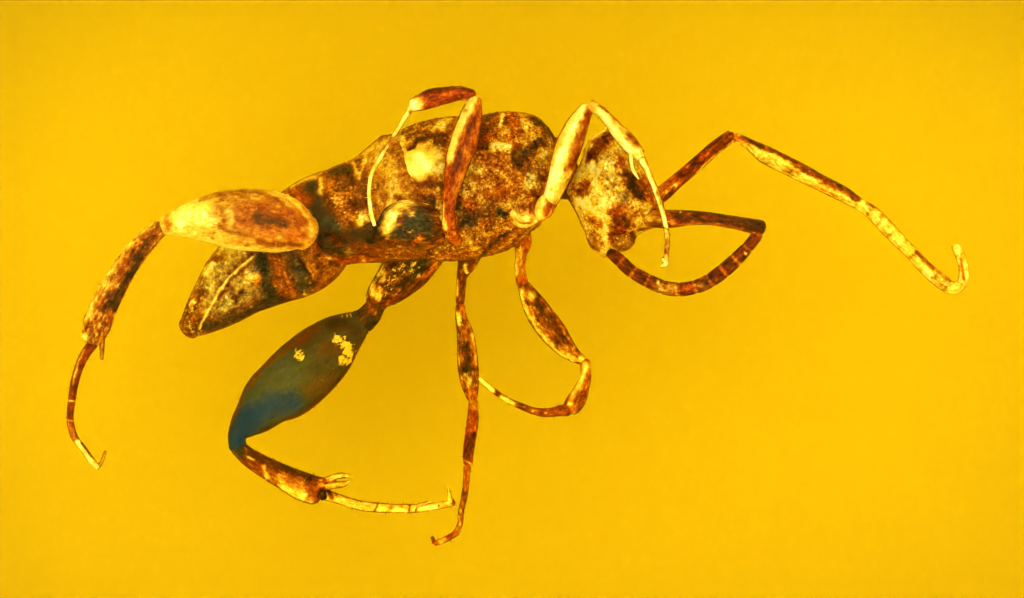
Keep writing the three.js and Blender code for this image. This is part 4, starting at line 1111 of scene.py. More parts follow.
NEAR_HIND_MARKS = {
    # A dark green bulb with a painted highlight on it, the bright drop, and a dark neck behind.
    "coxa": [
        (0.2, -0.7, 0.3),
        ("grain", 0.75, 0.22, 0.7, (-0.8, 0.95), (-1.05, 1.0)),
        ("grain", 0.7, 0.16, 0.9, (-0.73, 0.9), (-0.72, 0.6), (-0.85, 0.52)),
        (0.36, 0.3, 0.14, 0.9, (-0.73, 0.9), (-0.72, 0.6), (-0.85, 0.52)),
        ("leaf", 0.45, 0.3, 0.7, (-1.05, 0.7), (-0.85, 0.65)),
        (0.36, 0.1, 0.18, 0.8, (-0.8, 0.95), (-1.0, 1.0)),
        ("leaf", 0.5, 0.16, 0.7, (-0.8, 0.97), (-1.05, 1.0)),
        (0.3, 0.4, 0.08, 0.8, (-1.3, 0.56), (-1.15, 0.56), (-0.98, 0.51)),
        (0.56, 0.0, 0.12, 0.7, (-1.1, 1.0), (-1.0, 0.95)),
        (0.68, 0.0, 0.06, 0.9, (-1.06, 0.9), (-1.0, 0.86)),
        (0.4, 0.6, 0.05, 0.9, (-1.08, 0.8), (-1.12, 0.74)),
        (0.42, 1.0, 0.06, 0.8, (-0.97, 0.56), (-0.9, 0.63)),
        (0.8, 0.0, 0.12, 0.6, (-1.12, 0.94), (-1.18, 0.86), (-1.22, 0.77), (-1.25, 0.68)),
        (0.66, 0.0, 0.04, 0.8, (-1.12, 0.9), (-1.1, 0.84)),
        (1.0, -0.35, 0.08, 0.7, (-1.2, 0.84), (-1.2, 0.8)),
        (0.3, 0.8, 0.025, 0.6, (-1.42, 0.585), (-1.32, 0.6), (-1.27, 0.565), (-1.18, 0.56)),
        (0.13, -0.4, 0.3, 0.5, (-1.5, 0.62), (-1.8, 0.6)),
        (0.26, 0.6, 0.08, 0.8, (-1.78, 0.6), (-1.7, 0.52)),
    ],
    # A painted highlight at the knee, orange with a dark heart towards the body.
    "femur": [
        (0.74, 0.0, 0.1),
        (0.62, 0.0, 0.34, 0.9, (-2.85, 0.85), (-2.72, 0.82)),
        (0.47, 0.45, 0.42, 0.8, (-2.6, 0.78), (-2.16, 0.73)),
        (0.84, 0.0, 0.2, 0.9, (-3.3, 0.8), (-3.15, 0.84)),
        (0.9, 0.0, 0.08, 0.9, (-3.25, 0.8), (-3.12, 0.86)),
        (1.0, 0.0, 0.05, 0.9, (-3.3, 0.745)),
        (0.86, 0.0, 0.06, 0.9, (-3.12, 0.77), (-3.02, 0.75)),
        (0.6, 0.3, 0.06, 0.7, (-3.45, 0.84), (-3.44, 0.7)),
        (0.5, 0.1, 0.05, 1.0, (-2.94, 0.95), (-2.88, 0.88), (-2.86, 0.74), (-2.76, 0.68), (-2.6, 0.65)),
        (0.72, 0.0, 0.06, 0.9, (-2.82, 0.86), (-2.78, 0.78)),
        (0.55, 0.1, 0.05, 1.0, (-3.1, 0.99), (-2.95, 1.03)),
        (0.42, 0.1, 0.06, 1.0, (-2.92, 1.04), (-2.75, 1.06), (-2.5, 1.05), (-2.3, 0.98)),
        (0.55, 0.0, 0.04, 0.8, (-2.9, 1.0), (-2.7, 1.01), (-2.5, 1.0)),
        (0.42, 0.5, 0.08, 0.9, (-2.66, 0.9), (-2.45, 0.92), (-2.2, 0.86), (-2.08, 0.79)),
        (0.22, -0.1, 0.09, 0.9, (-2.53, 0.82), (-2.47, 0.77)),
        (0.24, -0.2, 0.1, 0.9, (-2.4, 0.78), (-2.27, 0.74)),
        (0.58, 0.5, 0.12, 0.8, (-2.48, 0.62), (-2.3, 0.64), (-2.1, 0.63)),
        (0.5, 0.95, 0.06, 0.8, (-2.2, 0.62), (-2.07, 0.63)),
        (0.66, 0.1, 0.035, 0.7, (-2.3, 1.0), (-2.12, 0.92), (-2.01, 0.79), (-1.995, 0.66), (-2.03, 0.56)),
        (0.36, 0.3, 0.04, 1.0, (-2.52, 0.57), (-2.37, 0.54), (-2.12, 0.54)),
        (0.42, 0.1, 0.03, 1.0, (-2.92, 0.73), (-2.86, 0.69), (-2.72, 0.66)),
        (0.82, 0.0, 0.04, 0.6, (-3.4, 0.64), (-3.1, 0.59), (-2.9, 0.54), (-2.7, 0.5), (-2.5, 0.48)),
        (0.8, 0.0, 0.03, 0.6, (-2.5, 0.49), (-2.3, 0.48), (-2.0, 0.47)),
    ],
    # Gold outside, dark inside.
    "tibia": [
        (0.48, 0.3, 0.4),
        (0.72, 0.05, 0.07, 0.7, (-3.58, 0.76), (-3.8, 0.56), (-3.96, 0.35), (-4.1, 0.1), (-4.2, -0.1),
         (-4.28, -0.3)),
        (0.34, 0.4, 0.09, 0.8, (-3.6, 0.65), (-3.73, 0.48), (-3.86, 0.28)),
        (0.64, 0.1, 0.05, 0.9, (-3.8, 0.5), (-3.84, 0.44)),
        (0.62, 0.2, 0.1, 0.8, (-3.98, 0.24), (-4.06, 0.05), (-4.15, -0.12)),
        (0.13, -0.3, 0.08, 0.6, (-3.64, 0.54), (-3.73, 0.38), (-3.82, 0.22), (-3.92, 0.05), (-3.98, -0.08)),
        (0.24, 0.0, 0.07, 0.8, (-4.02, 0.05), (-4.06, -0.1)),
        (0.4, 0.4, 0.06, 0.8, (-4.0, -0.15), (-4.04, -0.3)),
        (0.42, 0.4, 0.08, 0.8, (-4.2, -0.25), (-4.12, -0.36)),
        (1.0, -0.1, 0.07, 0.9, (-4.27, -0.38)),
    ],
    # Red-brown with pale joints.
    "tarsus": [
        (0.34, 0.75, 0.2),
        (0.66, 0.1, 0.02, 0.6, (-4.27, -0.5), (-4.33, -0.65), (-4.385, -0.85)),
        (0.76, 0.2, 0.015, 0.5, (-4.44, -1.01), (-4.35, -1.02)),
        (0.7, 0.2, 0.015, 0.5, (-4.45, -1.2), (-4.37, -1.22)),
        (0.55, 0.3, 0.04, 0.6, (-4.42, -1.24), (-4.37, -1.38)),
        (0.86, 0.0, 0.12, 0.3, (-4.32, -1.46), (-4.15, -1.67)),
        (0.3, 0.3, 0.012, 0.5, (-4.3, -1.43), (-4.22, -1.55), (-4.15, -1.62)),
    ],
    "spurs": [(0.55, 0.2, 0.1)],
}
# On the far front leg, the near-white streaks and dots are painted highlights.
FAR_FRONT_MARKS = {
    "coxa": [
        (0.42, 0.6, 0.4),
        (0.76, 0.0, 0.05, 0.7, (0.04, 0.46), (0.04, 0.24)),
        (0.92, 0.0, 0.07, 0.8, (0.075, 0.68), (0.075, 0.58)),
        (0.18, 0.4, 0.1, 0.6, (0.22, 0.62), (0.28, 0.77)),
        (0.38, 0.9, 0.06, 0.7, (0.18, 0.6), (0.14, 0.54)),
        (0.52, 0.9, 0.05, 0.6, (0.06, 0.55), (0.14, 0.54)),
        (0.6, 0.2, 0.06, 0.6, (0.09, 0.48), (0.08, 0.36)),
        (0.5, 0.9, 0.08, 0.6, (0.1, 0.2), (0.15, 0.15)),
    ],
    "femur": [
        (0.32, 0.2, 0.4),
        (0.84, -0.2, 0.08, 0.9, (0.2, 0.03)),
        (0.82, 0.0, 0.06, 0.6, (0.09, 0.1), (0.11, -0.05), (0.18, -0.2), (0.29, -0.35), (0.43, -0.5),
         (0.6, -0.615)),
        (0.6, 0.2, 0.03, 0.8, (0.18, -0.08), (0.24, -0.22), (0.36, -0.37)),
        (0.18, 0.1, 0.07, 0.7, (0.28, -0.06), (0.38, -0.2), (0.46, -0.32)),
        (0.14, 0.1, 0.05, 0.7, (0.5, -0.36), (0.57, -0.43)),
        (0.42, 0.4, 0.035, 0.8, (0.26, -0.18), (0.35, -0.3), (0.45, -0.43)),
        (0.44, 0.4, 0.04, 0.7, (0.3, -0.01), (0.42, -0.13), (0.54, -0.3), (0.64, -0.46)),
        (0.54, 0.3, 0.07, 0.8, (0.5, -0.49), (0.62, -0.52)),
        (0.8, 0.0, 0.06, 0.6, (0.68, -0.6), (0.76, -0.64)),
        ("leaf", 0.35, 0.1, 0.6, (0.25, -0.1), (0.55, -0.5)),
    ],
    "tibia": [
        (0.46, 0.5, 0.3),
        (0.86, 0.0, 0.06, 0.6, (0.74, -0.66), (0.715, -0.77), (0.64, -0.9), (0.58, -0.99)),
        (0.46, 0.8, 0.1, 0.7, (0.53, -1.0), (0.51, -1.1)),
        (1.0, -0.1, 0.05, 0.8, (0.585, -1.05)),
        (0.72, 0.1, 0.04, 0.7, (0.63, -1.16)),
        (0.3, 0.4, 0.04, 0.7, (0.75, -0.9), (0.72, -1.0), (0.68, -1.08)),
    ],
    "tarsus": [
        (0.42, 0.55, 0.25),
        (0.85, 0.1, 0.02, 0.6, (0.34, -1.14)),
        (0.85, 0.1, 0.02, 0.6, (0.21, -1.13)),
        (0.82, 0.0, 0.05, 0.4, (0.02, -1.06), (-0.12, -0.98)),
        (0.32, 0.4, 0.05, 0.5, (-0.14, -0.955)),
        (0.96, 0.0, 0.05, 0.4, (-0.2, -0.92), (-0.33, -0.79)),
    ],
    "spurs": [(0.5, 0.5, 0.1)],
}
# On the far middle leg, the near-white streaks and dots are painted highlights.
FAR_MIDDLE_MARKS = {
    "coxa": [
        (0.26, 0.2, 0.4),
        (0.7, 0.0, 0.03, 0.7, (-0.55, 0.2), (-0.555, 0.03)),
        (0.9, 0.0, 0.035, 0.7, (-0.48, 0.33), (-0.45, 0.27)),
        (0.16, 0.1, 0.05, 0.6, (-0.48, 0.15), (-0.49, 0.05)),
        (0.5, 0.7, 0.04, 0.6, (-0.52, 0.0)),
    ],
    "femur": [
        (0.38, 0.3, 0.45),
        (0.5, 0.8, 0.06, 0.6, (-0.52, -0.04), (-0.49, -0.11)),
        (0.88, 0.0, 0.04, 0.7, (-0.535, -0.14), (-0.535, -0.25)),
        (0.46, 0.5, 0.05, 0.7, (-0.48, -0.15), (-0.44, -0.3), (-0.42, -0.4)),
        (0.66, 0.1, 0.035, 0.7, (-0.41, -0.26), (-0.375, -0.45), (-0.365, -0.65)),
        (0.13, 0.0, 0.07, 0.7, (-0.45, -0.48), (-0.43, -0.6), (-0.44, -0.7)),
        (0.6, 0.0, 0.02, 0.8, (-0.54, -0.35), (-0.55, -0.5), (-0.53, -0.65)),
        (0.7, -0.4, 0.06, 0.9, (-0.445, -0.77), (-0.42, -0.87)),
        (0.42, 0.7, 0.1, 0.6, (-0.4, -0.93), (-0.39, -0.97)),
        ("leaf", 0.4, 0.14, 0.5, (-0.5, -0.2), (-0.44, -0.6)),
    ],
    "tibia": [
        (0.4, 0.8, 0.35),
        (0.58, 0.5, 0.1, 0.4, (-0.385, -1.03), (-0.385, -1.06)),
        (0.26, 0.5, 0.06, 0.7, (-0.42, -1.45), (-0.44, -1.58)),
        (0.72, 0.2, 0.02, 0.6, (-0.48, -1.62), (-0.4, -1.66)),
    ],
    "tarsus": [
        (0.48, 0.45, 0.3),
        (0.32, 0.3, 0.05, 0.6, (-0.48, -1.95), (-0.485, -2.0)),
        (0.56, 0.2, 0.05, 0.5, (-0.51, -2.1), (-0.52, -2.22)),
        (0.88, 0.0, 0.022, 0.6, (-0.54, -2.18)),
        (0.88, 0.0, 0.022, 0.6, (-0.52, -2.26)),
        (0.44, 0.8, 0.05, 0.5, (-0.58, -2.35), (-0.64, -2.39)),
        (0.7, 0.0, 0.05, 0.5, (-0.68, -2.41), (-0.72, -2.43)),
        (0.42, 0.9, 0.05, 0.5, (-0.76, -2.45)),
    ],
    "spurs": [(0.3, 0.2, 0.1)],
}
FAR_HIND_MARKS = {
    # Mottled dark brown and gold, with a painted highlight at its end and a near black trochanter.
    "coxa": [
        (0.28, 0.1, 0.55),
        (0.7, 0.0, 0.09, 0.7, (-1.38, 0.28), (-1.3, 0.33), (-1.3, 0.2)),
        (0.2, 0.2, 0.07, 0.6, (-1.32, 0.13), (-1.2, 0.14)),
        (0.22, 0.2, 0.08, 0.6, (-1.22, 0.36), (-1.15, 0.33)),
        ("leaf", 0.95, 0.13, 0.8, (-1.28, 0.18), (-1.15, 0.24), (-1.0, 0.33)),
        ("leaf", 0.6, 0.16, 0.6, (-1.3, 0.08), (-1.1, 0.35)),
        (0.16, 0.1, 0.1, 0.7, (-1.1, 0.12), (-1.0, 0.2)),
        (0.52, 0.4, 0.04, 0.7, (-1.3, 0.06), (-1.15, 0.04)),
        (0.22, 0.6, 0.05, 0.6, (-1.3, -0.05), (-1.1, 0.02), (-0.95, 0.13), (-0.8, 0.28)),
        (0.18, -0.6, 0.13, 0.7, (-0.98, 0.3), (-0.85, 0.4)),
        (0.5, 0.9, 0.06, 0.7, (-0.73, 0.42), (-0.79, 0.3), (-0.86, 0.22)),
        (1.0, -0.1, 0.07, 0.8, (-1.41, 0.2), (-1.4, 0.05)),
        (0.7, 0.2, 0.06, 0.7, (-1.35, 0.0), (-1.32, 0.1)),
    ],
    "trochanter": [
        (0.2, -0.3, 0.3),
        (0.34, 0.4, 0.06, 0.8, (-1.43, -0.05), (-1.39, -0.14)),
        (0.07, -0.8, 0.1, 0.6, (-1.36, -0.25), (-1.48, -0.38)),
    ],
    # Olive to blue, with a rust rim and flakes of painted gold glint.
    "femur": [
        (0.3, -1.1, -0.08),
        (0.27, -0.75, 0.5, 1.0, (-1.6, -0.4), (-1.9, -0.52)),
        (0.3, -0.5, 0.2, 0.9, (-1.8, -0.8), (-2.05, -0.92)),
        (0.16, -0.4, 0.11, 0.7, (-1.82, -0.25), (-1.62, -0.27), (-1.55, -0.33)),
        (0.28, -0.1, 0.1, 0.9, (-1.98, -0.3), (-2.15, -0.45)),
        (0.26, -0.3, 0.14, 0.9, (-1.85, -0.5), (-1.75, -0.5)),
        (0.36, -1.08, 0.3, 1.0, (-2.3, -0.66), (-2.22, -0.8), (-2.42, -0.86)),
        (0.22, -1.7, 0.2, 1.0, (-2.2, -1.04), (-2.4, -1.05), (-2.58, -1.17)),
        (0.15, -1.85, 0.24, 1.0, (-2.66, -1.2), (-2.75, -1.45)),
        (0.3, 0.0, 0.03, 0.8, (-1.95, -0.26), (-2.1, -0.37), (-2.3, -0.54), (-2.5, -0.7), (-2.63, -0.87)),
        (0.34, 0.1, 0.025, 0.6, (-1.65, -0.15), (-1.9, -0.19), (-2.1, -0.3), (-2.3, -0.47)),
        (0.82, -0.2, 0.012, 0.5, (-1.66, -0.14), (-1.65, -0.18)),
        (0.82, -0.2, 0.012, 0.5, (-1.62, -0.14), (-1.61, -0.18)),
        (0.82, -0.2, 0.012, 0.5, (-1.7, -0.15), (-1.7, -0.18)),
        (0.17, -0.3, 0.05, 0.9, (-1.55, -0.5), (-1.66, -0.74), (-1.85, -0.95), (-2.05, -1.1),
         (-2.3, -1.25), (-2.5, -1.32)),
        (0.24, 0.1, 0.03, 0.8, (-2.7, -0.95), (-2.76, -1.12), (-2.83, -1.27)),
        ("leaf", 1.0, 0.16, 0.9, (-1.77, -0.4), (-1.7, -0.45), (-1.65, -0.5), (-1.67, -0.58)),
        ("leaf", 1.0, 0.15, 0.9, (-1.68, -0.58), (-1.78, -0.65), (-1.88, -0.7)),
        ("leaf", 0.95, 0.12, 0.9, (-2.15, -0.55), (-2.05, -0.57), (-1.96, -0.58)),
        ("leaf", 0.2, 0.3, 0.6, (-1.9, -0.55), (-1.95, -0.85)),
    ],
    # Dark above, pale rose below.
    "tibia": [
        (0.38, 0.45, 0.3),
        (0.16, -1.2, 0.16, 0.7, (-2.77, -1.46), (-2.71, -1.52)),
        (0.3, 0.6, 0.1, 0.8, (-2.66, -1.62), (-2.5, -1.7)),
        (0.17, 0.1, 0.09, 0.6, (-2.65, -1.5), (-2.4, -1.64), (-2.2, -1.72), (-2.0, -1.79)),
        (0.6, 0.4, 0.11, 0.8, (-2.32, -1.8), (-2.2, -1.84), (-2.08, -1.9)),
        (0.9, 0.15, 0.08, 0.8, (-2.3, -1.9), (-2.2, -1.95), (-2.1, -1.99)),
        (0.88, 0.1, 0.02, 0.6, (-2.64, -1.585), (-2.58, -1.61)),
        (0.8, 0.1, 0.035, 0.7, (-2.49, -1.69), (-2.45, -1.78)),
        (0.36, 0.6, 0.08, 0.7, (-2.02, -1.88), (-1.92, -1.84)),
        (0.66, 0.5, 0.06, 0.9, (-1.9, -1.87)),
        (0.1, 0.2, 0.08, 0.6, (-1.89, -1.94), (-1.91, -2.03)),
        (0.88, 0.0, 0.05, 0.8, (-2.02, -2.03)),
    ],
    # Pale gold with dark joints.
    "tarsus": [
        (0.74, 0.05, 0.25),
        (0.34, 0.5, 0.035, 0.6, (-1.84, -1.93), (-1.8, -1.99)),
        (0.48, 0.4, 0.025, 0.7, (-1.76, -1.96), (-1.5, -2.02), (-1.38, -2.04)),
        (0.34, 0.5, 0.018, 0.6, (-1.385, -2.13), (-1.335, -2.03)),
        (0.94, 0.0, 0.05, 0.8, (-1.18, -2.12), (-1.06, -2.13)),
        (0.4, 0.4, 0.014, 0.6, (-1.03, -2.14), (-1.02, -2.06)),
        (0.36, 0.4, 0.016, 0.6, (-0.97, -2.14), (-0.95, -2.08), (-0.86, -2.05)),
        (0.92, 0.0, 0.04, 0.8, (-0.92, -2.11), (-0.76, -2.08)),
        (0.18, 0.2, 0.016, 0.6, (-0.73, -2.075)),
        (0.4, 0.8, 0.05, 0.6, (-0.59, -2.02), (-0.58, -2.05)),
    ],
    "spurs": [(0.74, 0.0, 0.3)],
    "knobs": [
        (0.3, 0.6, 0.4),
        (0.64, 0.5, 0.06, 0.9, (-1.91, -1.86)),
        (0.08, 0.2, 0.1, 0.5, (-1.9, -1.96), (-1.88, -2.03)),
        (0.8, 0.0, 0.012, 0.5, (-1.82, -1.81), (-1.76, -1.8)),
    ],
}
# The near-white dots on the far antenna are painted glints.
FAR_ANTENNA_MARKS = {
    "scape": [
        (0.28, 0.75, 0.45),
        (0.5, 0.85, 0.12, 0.8, (1.44, 1.03), (1.6, 1.15)),
        (0.88, 0.0, 0.035, 0.8, (1.63, 1.14)),
        (0.88, 0.0, 0.03, 0.8, (1.55, 1.07)),
        (0.2, 0.7, 0.08, 0.8, (1.7, 1.25), (1.85, 1.36)),
        (0.44, 0.95, 0.05, 0.8, (1.9, 1.43), (2.03, 1.52)),
        (0.74, 0.0, 0.02, 0.6, (1.85, 1.27), (2.0, 1.41), (2.2, 1.56)),
        (0.95, 0.0, 0.02, 0.6, (2.19, 1.68)),
        (0.95, 0.0, 0.02, 0.6, (2.21, 1.58)),
    ],
    "flagellum": [
        (0.8, 0.0, 0.42),
        (0.5, 0.6, 0.07, 0.7, (2.24, 1.62), (2.5, 1.53)),
        (0.9, 0.0, 0.02, 0.6, (2.32, 1.6), (2.44, 1.51)),
        (0.76, 0.05, 0.14, 0.6, (2.6, 1.4), (3.3, 1.05)),
        (0.2, 0.4, 0.075, 0.5, (2.33, 1.62), (2.6, 1.5), (2.8, 1.41), (3.1, 1.25), (3.3, 1.15), (3.46, 1.02)),
        (0.34, 0.6, 0.05, 0.8, (2.85, 1.33), (3.1, 1.2), (3.3, 1.1), (3.45, 1.02)),
        (0.44, 0.2, 0.03, 0.7, (3.55, 0.96), (3.7, 0.89), (3.78, 0.78), (3.9, 0.67), (4.0, 0.57)),
        (0.34, 0.4, 0.045, 0.7, (4.05, 0.47), (4.15, 0.37), (4.22, 0.31)),
        (0.5, 0.2, 0.02, 0.6, (4.25, 0.28), (4.38, 0.17)),
        (1.0, 0.0, 0.04, 0.9, (3.71, 0.75)),
        (1.0, 0.0, 0.04, 0.9, (3.77, 0.68)),
        (0.98, 0.0, 0.04, 0.9, (3.87, 0.57)),
        (0.98, 0.0, 0.05, 0.9, (4.13, 0.27)),
        (0.42, 0.5, 0.02, 0.6, (4.2, 0.22)),
        (0.42, 0.95, 0.025, 0.7, (4.49, 0.4), (4.51, 0.3), (4.52, 0.2)),
    ],
}
# The near-white dots on the near antenna are painted glints.
NEAR_ANTENNA_MARKS = {
    "scape": [
        (0.18, 0.4, 0.3),
        (0.6, 0.1, 0.14, 0.6, (1.3, 0.8), (1.46, 0.8)),
        (0.46, 0.85, 0.09, 0.8, (1.54, 0.84), (1.6, 0.77)),
        (0.5, 0.6, 0.03, 0.7, (1.6, 0.735), (1.9, 0.755), (2.2, 0.72), (2.3, 0.69)),
        (0.9, 0.0, 0.02, 0.6, (1.68, 0.86)),
        (0.88, 0.0, 0.02, 0.6, (2.04, 0.85)),
        (0.28, 0.5, 0.06, 0.8, (1.9, 0.84), (2.2, 0.8)),
        (0.48, 0.85, 0.06, 0.7, (2.4, 0.65), (2.46, 0.63)),
        (0.9, 0.0, 0.02, 0.6, (2.42, 0.66)),
    ],
    "flagellum": [
        (0.22, 0.65, 0.35),
        (0.58, -0.1, 0.12, 0.6, (1.5, 0.11), (1.6, 0.11)),
        (0.36, 0.95, 0.1, 0.6, (1.72, 0.11), (1.76, 0.12)),
        (0.46, -0.1, 0.07, 0.8, (1.86, 0.13), (1.92, 0.13)),
        (0.55, 0.2, 0.03, 0.7, (1.1, 0.25), (1.3, 0.12), (1.42, 0.07)),
        (0.98, -0.1, 0.03, 0.7, (2.33, 0.45)),
        (0.95, -0.1, 0.03, 0.7, (1.46, 0.17)),
        (0.7, 0.3, 0.02, 0.6, (1.64, 0.05), (1.63, 0.16)),
    ],
}


# Joints along the antennae's whips: their spacing, tone, hue, strength and how deep they are pinched in.
NEAR_JOINTS = (0.165, 0.5, 0.6, 0.9, 0.006)
FAR_JOINTS = (0.155, 0.56, 0.1, 0.5, 0.002)

# How far from its middle a joint starts to fade, and where it ends, in spacings.
JOINT_FADE = (0.04, 0.14)


def body_shell(stations, depth, straight=False):
    """A body part's shell, with a pattern that is read straight from the slab's frame."""
    shell = Shell(stations, depth, BODY_AROUND, BODY_SPACING, straight)
    shell.way = shell.points.copy()
    return shell


def paint_marks_and_shade(shell, marks, seed, wander, relief=0.0, rough=(), edge=None):
    """Paints a shell with its marks, painted highlights among them, and lets bright marks stand proud and
    rough places ripple.

    edge is the tone of the painted shade along its sides and where that starts, and a tone of None leaves it
    out.
    """
    strokes(shell, marks, seed, wander)
    if edge and edge[0] is not None:
        edge_shade(shell, *edge)
    height = relief * (shell.paint["tone"] - 0.5)
    for size, amount in rough:
        height = height + amount * ripple(shell.points, size, seed + 20) * shell.paint["grain"]
    shell.push(height * (1 - shell.across**4))


def joints(shell, spacing, tone, hue, strength, pinch):
    """Paints joints at even steps along a limb, and pinches it in there."""
    place = shell.along * shell.length / spacing
    near = np.abs(place - np.round(place))
    weight = strength * (1 - smooth(*JOINT_FADE, near))
    lay(shell, weight, tone=tone, hue=hue)
    shell.push(-pinch * weight)


# A granule is a small ball, and a bristle a thin three-sided spike that leans over, in radians.
GRANULE = {"Radius": 0.5, "Subdivisions": 1}
BRISTLE = {"Vertices": 3, "Radius Bottom": 0.11, "Radius Top": 0.01, "Depth": 1.0}
BRISTLE_LEAN = 0.9

# How far below and above its host's a strewn shape's tone may lie.
STREWN_TONE = (-0.06, 0.26)


def new_scatter(name, material, least, most, warmth=0.0, lean=0.0):
    """A Geometry Nodes tree that strews small shapes over a surface, thicker where it has more crumb.

    Their sizes run from least to most, in millimetres. They are granules, or bristles where they lean.
    """
    tree = bpy.data.node_groups.new(name, "GeometryNodeTree")
    tree.interface.new_socket("Geometry", in_out="INPUT", socket_type="NodeSocketGeometry")
    for label, value in (("Density", 1.0), ("Smallest", least * MM), ("Largest", most * MM)):
        tree.interface.new_socket(label, in_out="INPUT", socket_type="NodeSocketFloat").default_value = value
    tree.interface.new_socket("Seed", in_out="INPUT", socket_type="NodeSocketInt").default_value = 1
    tree.interface.new_socket("Geometry", in_out="OUTPUT", socket_type="NodeSocketGeometry")
    given, out = tree.nodes.new("NodeGroupInput"), tree.nodes.new("NodeGroupOutput")

    def node(kind, links=(), values=None, **settings):
        made = tree.nodes.new(kind)
        for key, value in settings.items():
            setattr(made, key, value)
        for label, source in links:
            tree.links.new(source, made.inputs[label])
        for label, value in (values or {}).items():
            made.inputs[label].default_value = value
        return made

    def painted(label):
        return node("GeometryNodeInputNamedAttribute", values={"Name": label}, data_type="FLOAT").outputs[0]

    def repainted(geometry, label, value):
        return node(
            "GeometryNodeStoreNamedAttribute",
            (("Geometry", geometry), ("Value", value)),
            {"Name": label}, data_type="FLOAT", domain="INSTANCE",
        ).outputs[0]

    density = maths(tree, "MULTIPLY", painted("crumb"), given.outputs["Density"])
    points = node(
        "GeometryNodeDistributePointsOnFaces",
        (("Mesh", given.outputs["Geometry"]), ("Density", density), ("Seed", given.outputs["Seed"])),
    )
    scale = node(
        "FunctionNodeRandomValue",
        ((2, given.outputs["Smallest"]), (3, given.outputs["Largest"]), ("Seed", given.outputs["Seed"])),
        data_type="FLOAT",
    )
    turn = points.outputs["Rotation"]
    if lean:
        shape = node("GeometryNodeMeshCone", values=BRISTLE)
        tilt = {"Rotate By": (lean, 0, 0)}
        tilted = node("FunctionNodeRotateRotation", (("Rotation", turn),), tilt, rotation_space="LOCAL")
        turn = tilted.outputs[0]
    else:
        shape = node("GeometryNodeMeshIcoSphere", values=GRANULE)
    smoothed = node("GeometryNodeSetShadeSmooth", (("Geometry", shape.outputs["Mesh"]),))
    strewn = node(
        "GeometryNodeInstanceOnPoints",
        (
            ("Points", points.outputs["Points"]),
            ("Instance", smoothed.outputs[0]),
            ("Rotation", turn),
            ("Scale", scale.outputs[1]),
        ),
    )
    swing = node("FunctionNodeRandomValue", values={2: STREWN_TONE[0], 3: STREWN_TONE[1]}, data_type="FLOAT")
    tone = maths(tree, "ADD", painted("tone"), swing.outputs[1], clamp=True)
    toned = repainted(strewn.outputs[0], "tone", tone)
    warmed = repainted(toned, "hue", maths(tree, "ADD", painted("hue"), warmth))
    real = node("GeometryNodeRealizeInstances", (("Geometry", warmed),))
    coated = node("GeometryNodeSetMaterial", (("Geometry", real.outputs[0]),), {"Material": material})
    tree.links.new(coated.outputs[0], out.inputs[0])
    return tree


def scatter(name, host, shells, tree, density, seed):
    """Strews a tree's shapes over a piece, as a piece of their own. Density is how many to a square mm."""
    layer = host.data.attributes.new("crumb", "FLOAT", "POINT")
    crumb = np.concatenate([shell.crumb for shell in shells])
    layer.data.foreach_set("value", crumb.astype(np.float32))
    holder = in_scene(name + "_host", host.data)
    modifier = holder.modifiers.new(name, "NODES")
    modifier.node_group = tree
    sockets = {item.name: item.identifier for item in tree.interface.items_tree if item.in_out == "INPUT"}
    modifier[sockets["Density"]] = density / MM**2
    modifier[sockets["Seed"]] = seed
    graph = bpy.context.evaluated_depsgraph_get()
    mesh = bpy.data.meshes.new_from_object(holder.evaluated_get(graph))
    holder.modifiers.remove(modifier)
    bpy.data.objects.remove(holder)
    host.data.attributes.remove(host.data.attributes["crumb"])
    mesh.name = name
    insect_part(name, mesh)


def clusters(shell, seed):
    """How thick granules lie, in drifts with bare skin between."""
    return smooth(-0.12, 0.2, ripple(shell.points, 0.11, seed + 40))


def abdomen(material, dust):
    shell = base_coat(body_shell(GASTER, depth=0.82), tone=0.42, hue=0.15, grain=0.5)
    paint_marks_and_shade(shell, ABDOMEN_MARKS, seed=1, wander=0.022, relief=0.05, rough=((0.2, 0.03), (0.06, 0.014)))
    body_edge_shade(shell, 0.3)
    shell.crumb = smooth(0.42, 0.7, shell.paint["grain"]) * clusters(shell, 1)
    thing = piece("abdomen", [shell], material)
    scatter("abdomen_granules", thing, [shell], dust, density=500, seed=1)


def thorax(material, dust):
    shell = base_coat(body_shell(THORAX, depth=0.76), tone=0.46, hue=0.4, grain=0.66)
    paint_marks_and_shade(shell, THORAX_MARKS, seed=2, wander=0.03, relief=0.06, rough=((0.16, 0.05), (0.05, 0.025)))
    body_edge_shade(shell, 0.3)
    neck = base_coat(Shell(NECK), tone=0.3)
    tone = shell.paint["tone"]
    shell.crumb = smooth(0.3, 0.6, shell.paint["grain"]) * smooth(0.2, 0.4, tone) * clusters(shell, 2)
    neck.crumb = np.zeros(len(neck.points))
    thing = piece("thorax", [shell, neck], material)
    scatter("thorax_granules", thing, [shell, neck], dust, density=1300, seed=2)


def head(material, dust):
    shell = base_coat(body_shell(HEAD, depth=0.88, straight=True), tone=0.67, hue=0.05, grain=0.6)
    jaw = base_coat(Shell(JAW), tone=0.4)
    for part in (shell, jaw):
        paint_marks_and_shade(part, HEAD_MARKS, seed=3, wander=0.022, relief=0.04, rough=((0.12, 0.03), (0.04, 0.014)))
        body_edge_shade(part, 0.36)
        part.crumb = smooth(0.3, 0.5, part.paint["tone"]) * (1 - smooth(0.75, 0.9, part.paint["tone"]))
    thing = piece("head", [shell, jaw], material)
    scatter("head_granules", thing, [shell, jaw], dust, density=400, seed=3)


def eyes(material):
    x, y, z = EYE_CENTRE
    pair = [Ball((x, y, side * z), EYE_RADII, rings=60, around=90) for side in (1, -1)]
    for eye in pair:
        base_coat(eye, tone=0.64, grain=0.6)
        paint_marks_and_shade(eye, HEAD_MARKS, seed=3, wander=0.022, rough=((0.04, 0.01),))
    piece("eyes", pair, material)


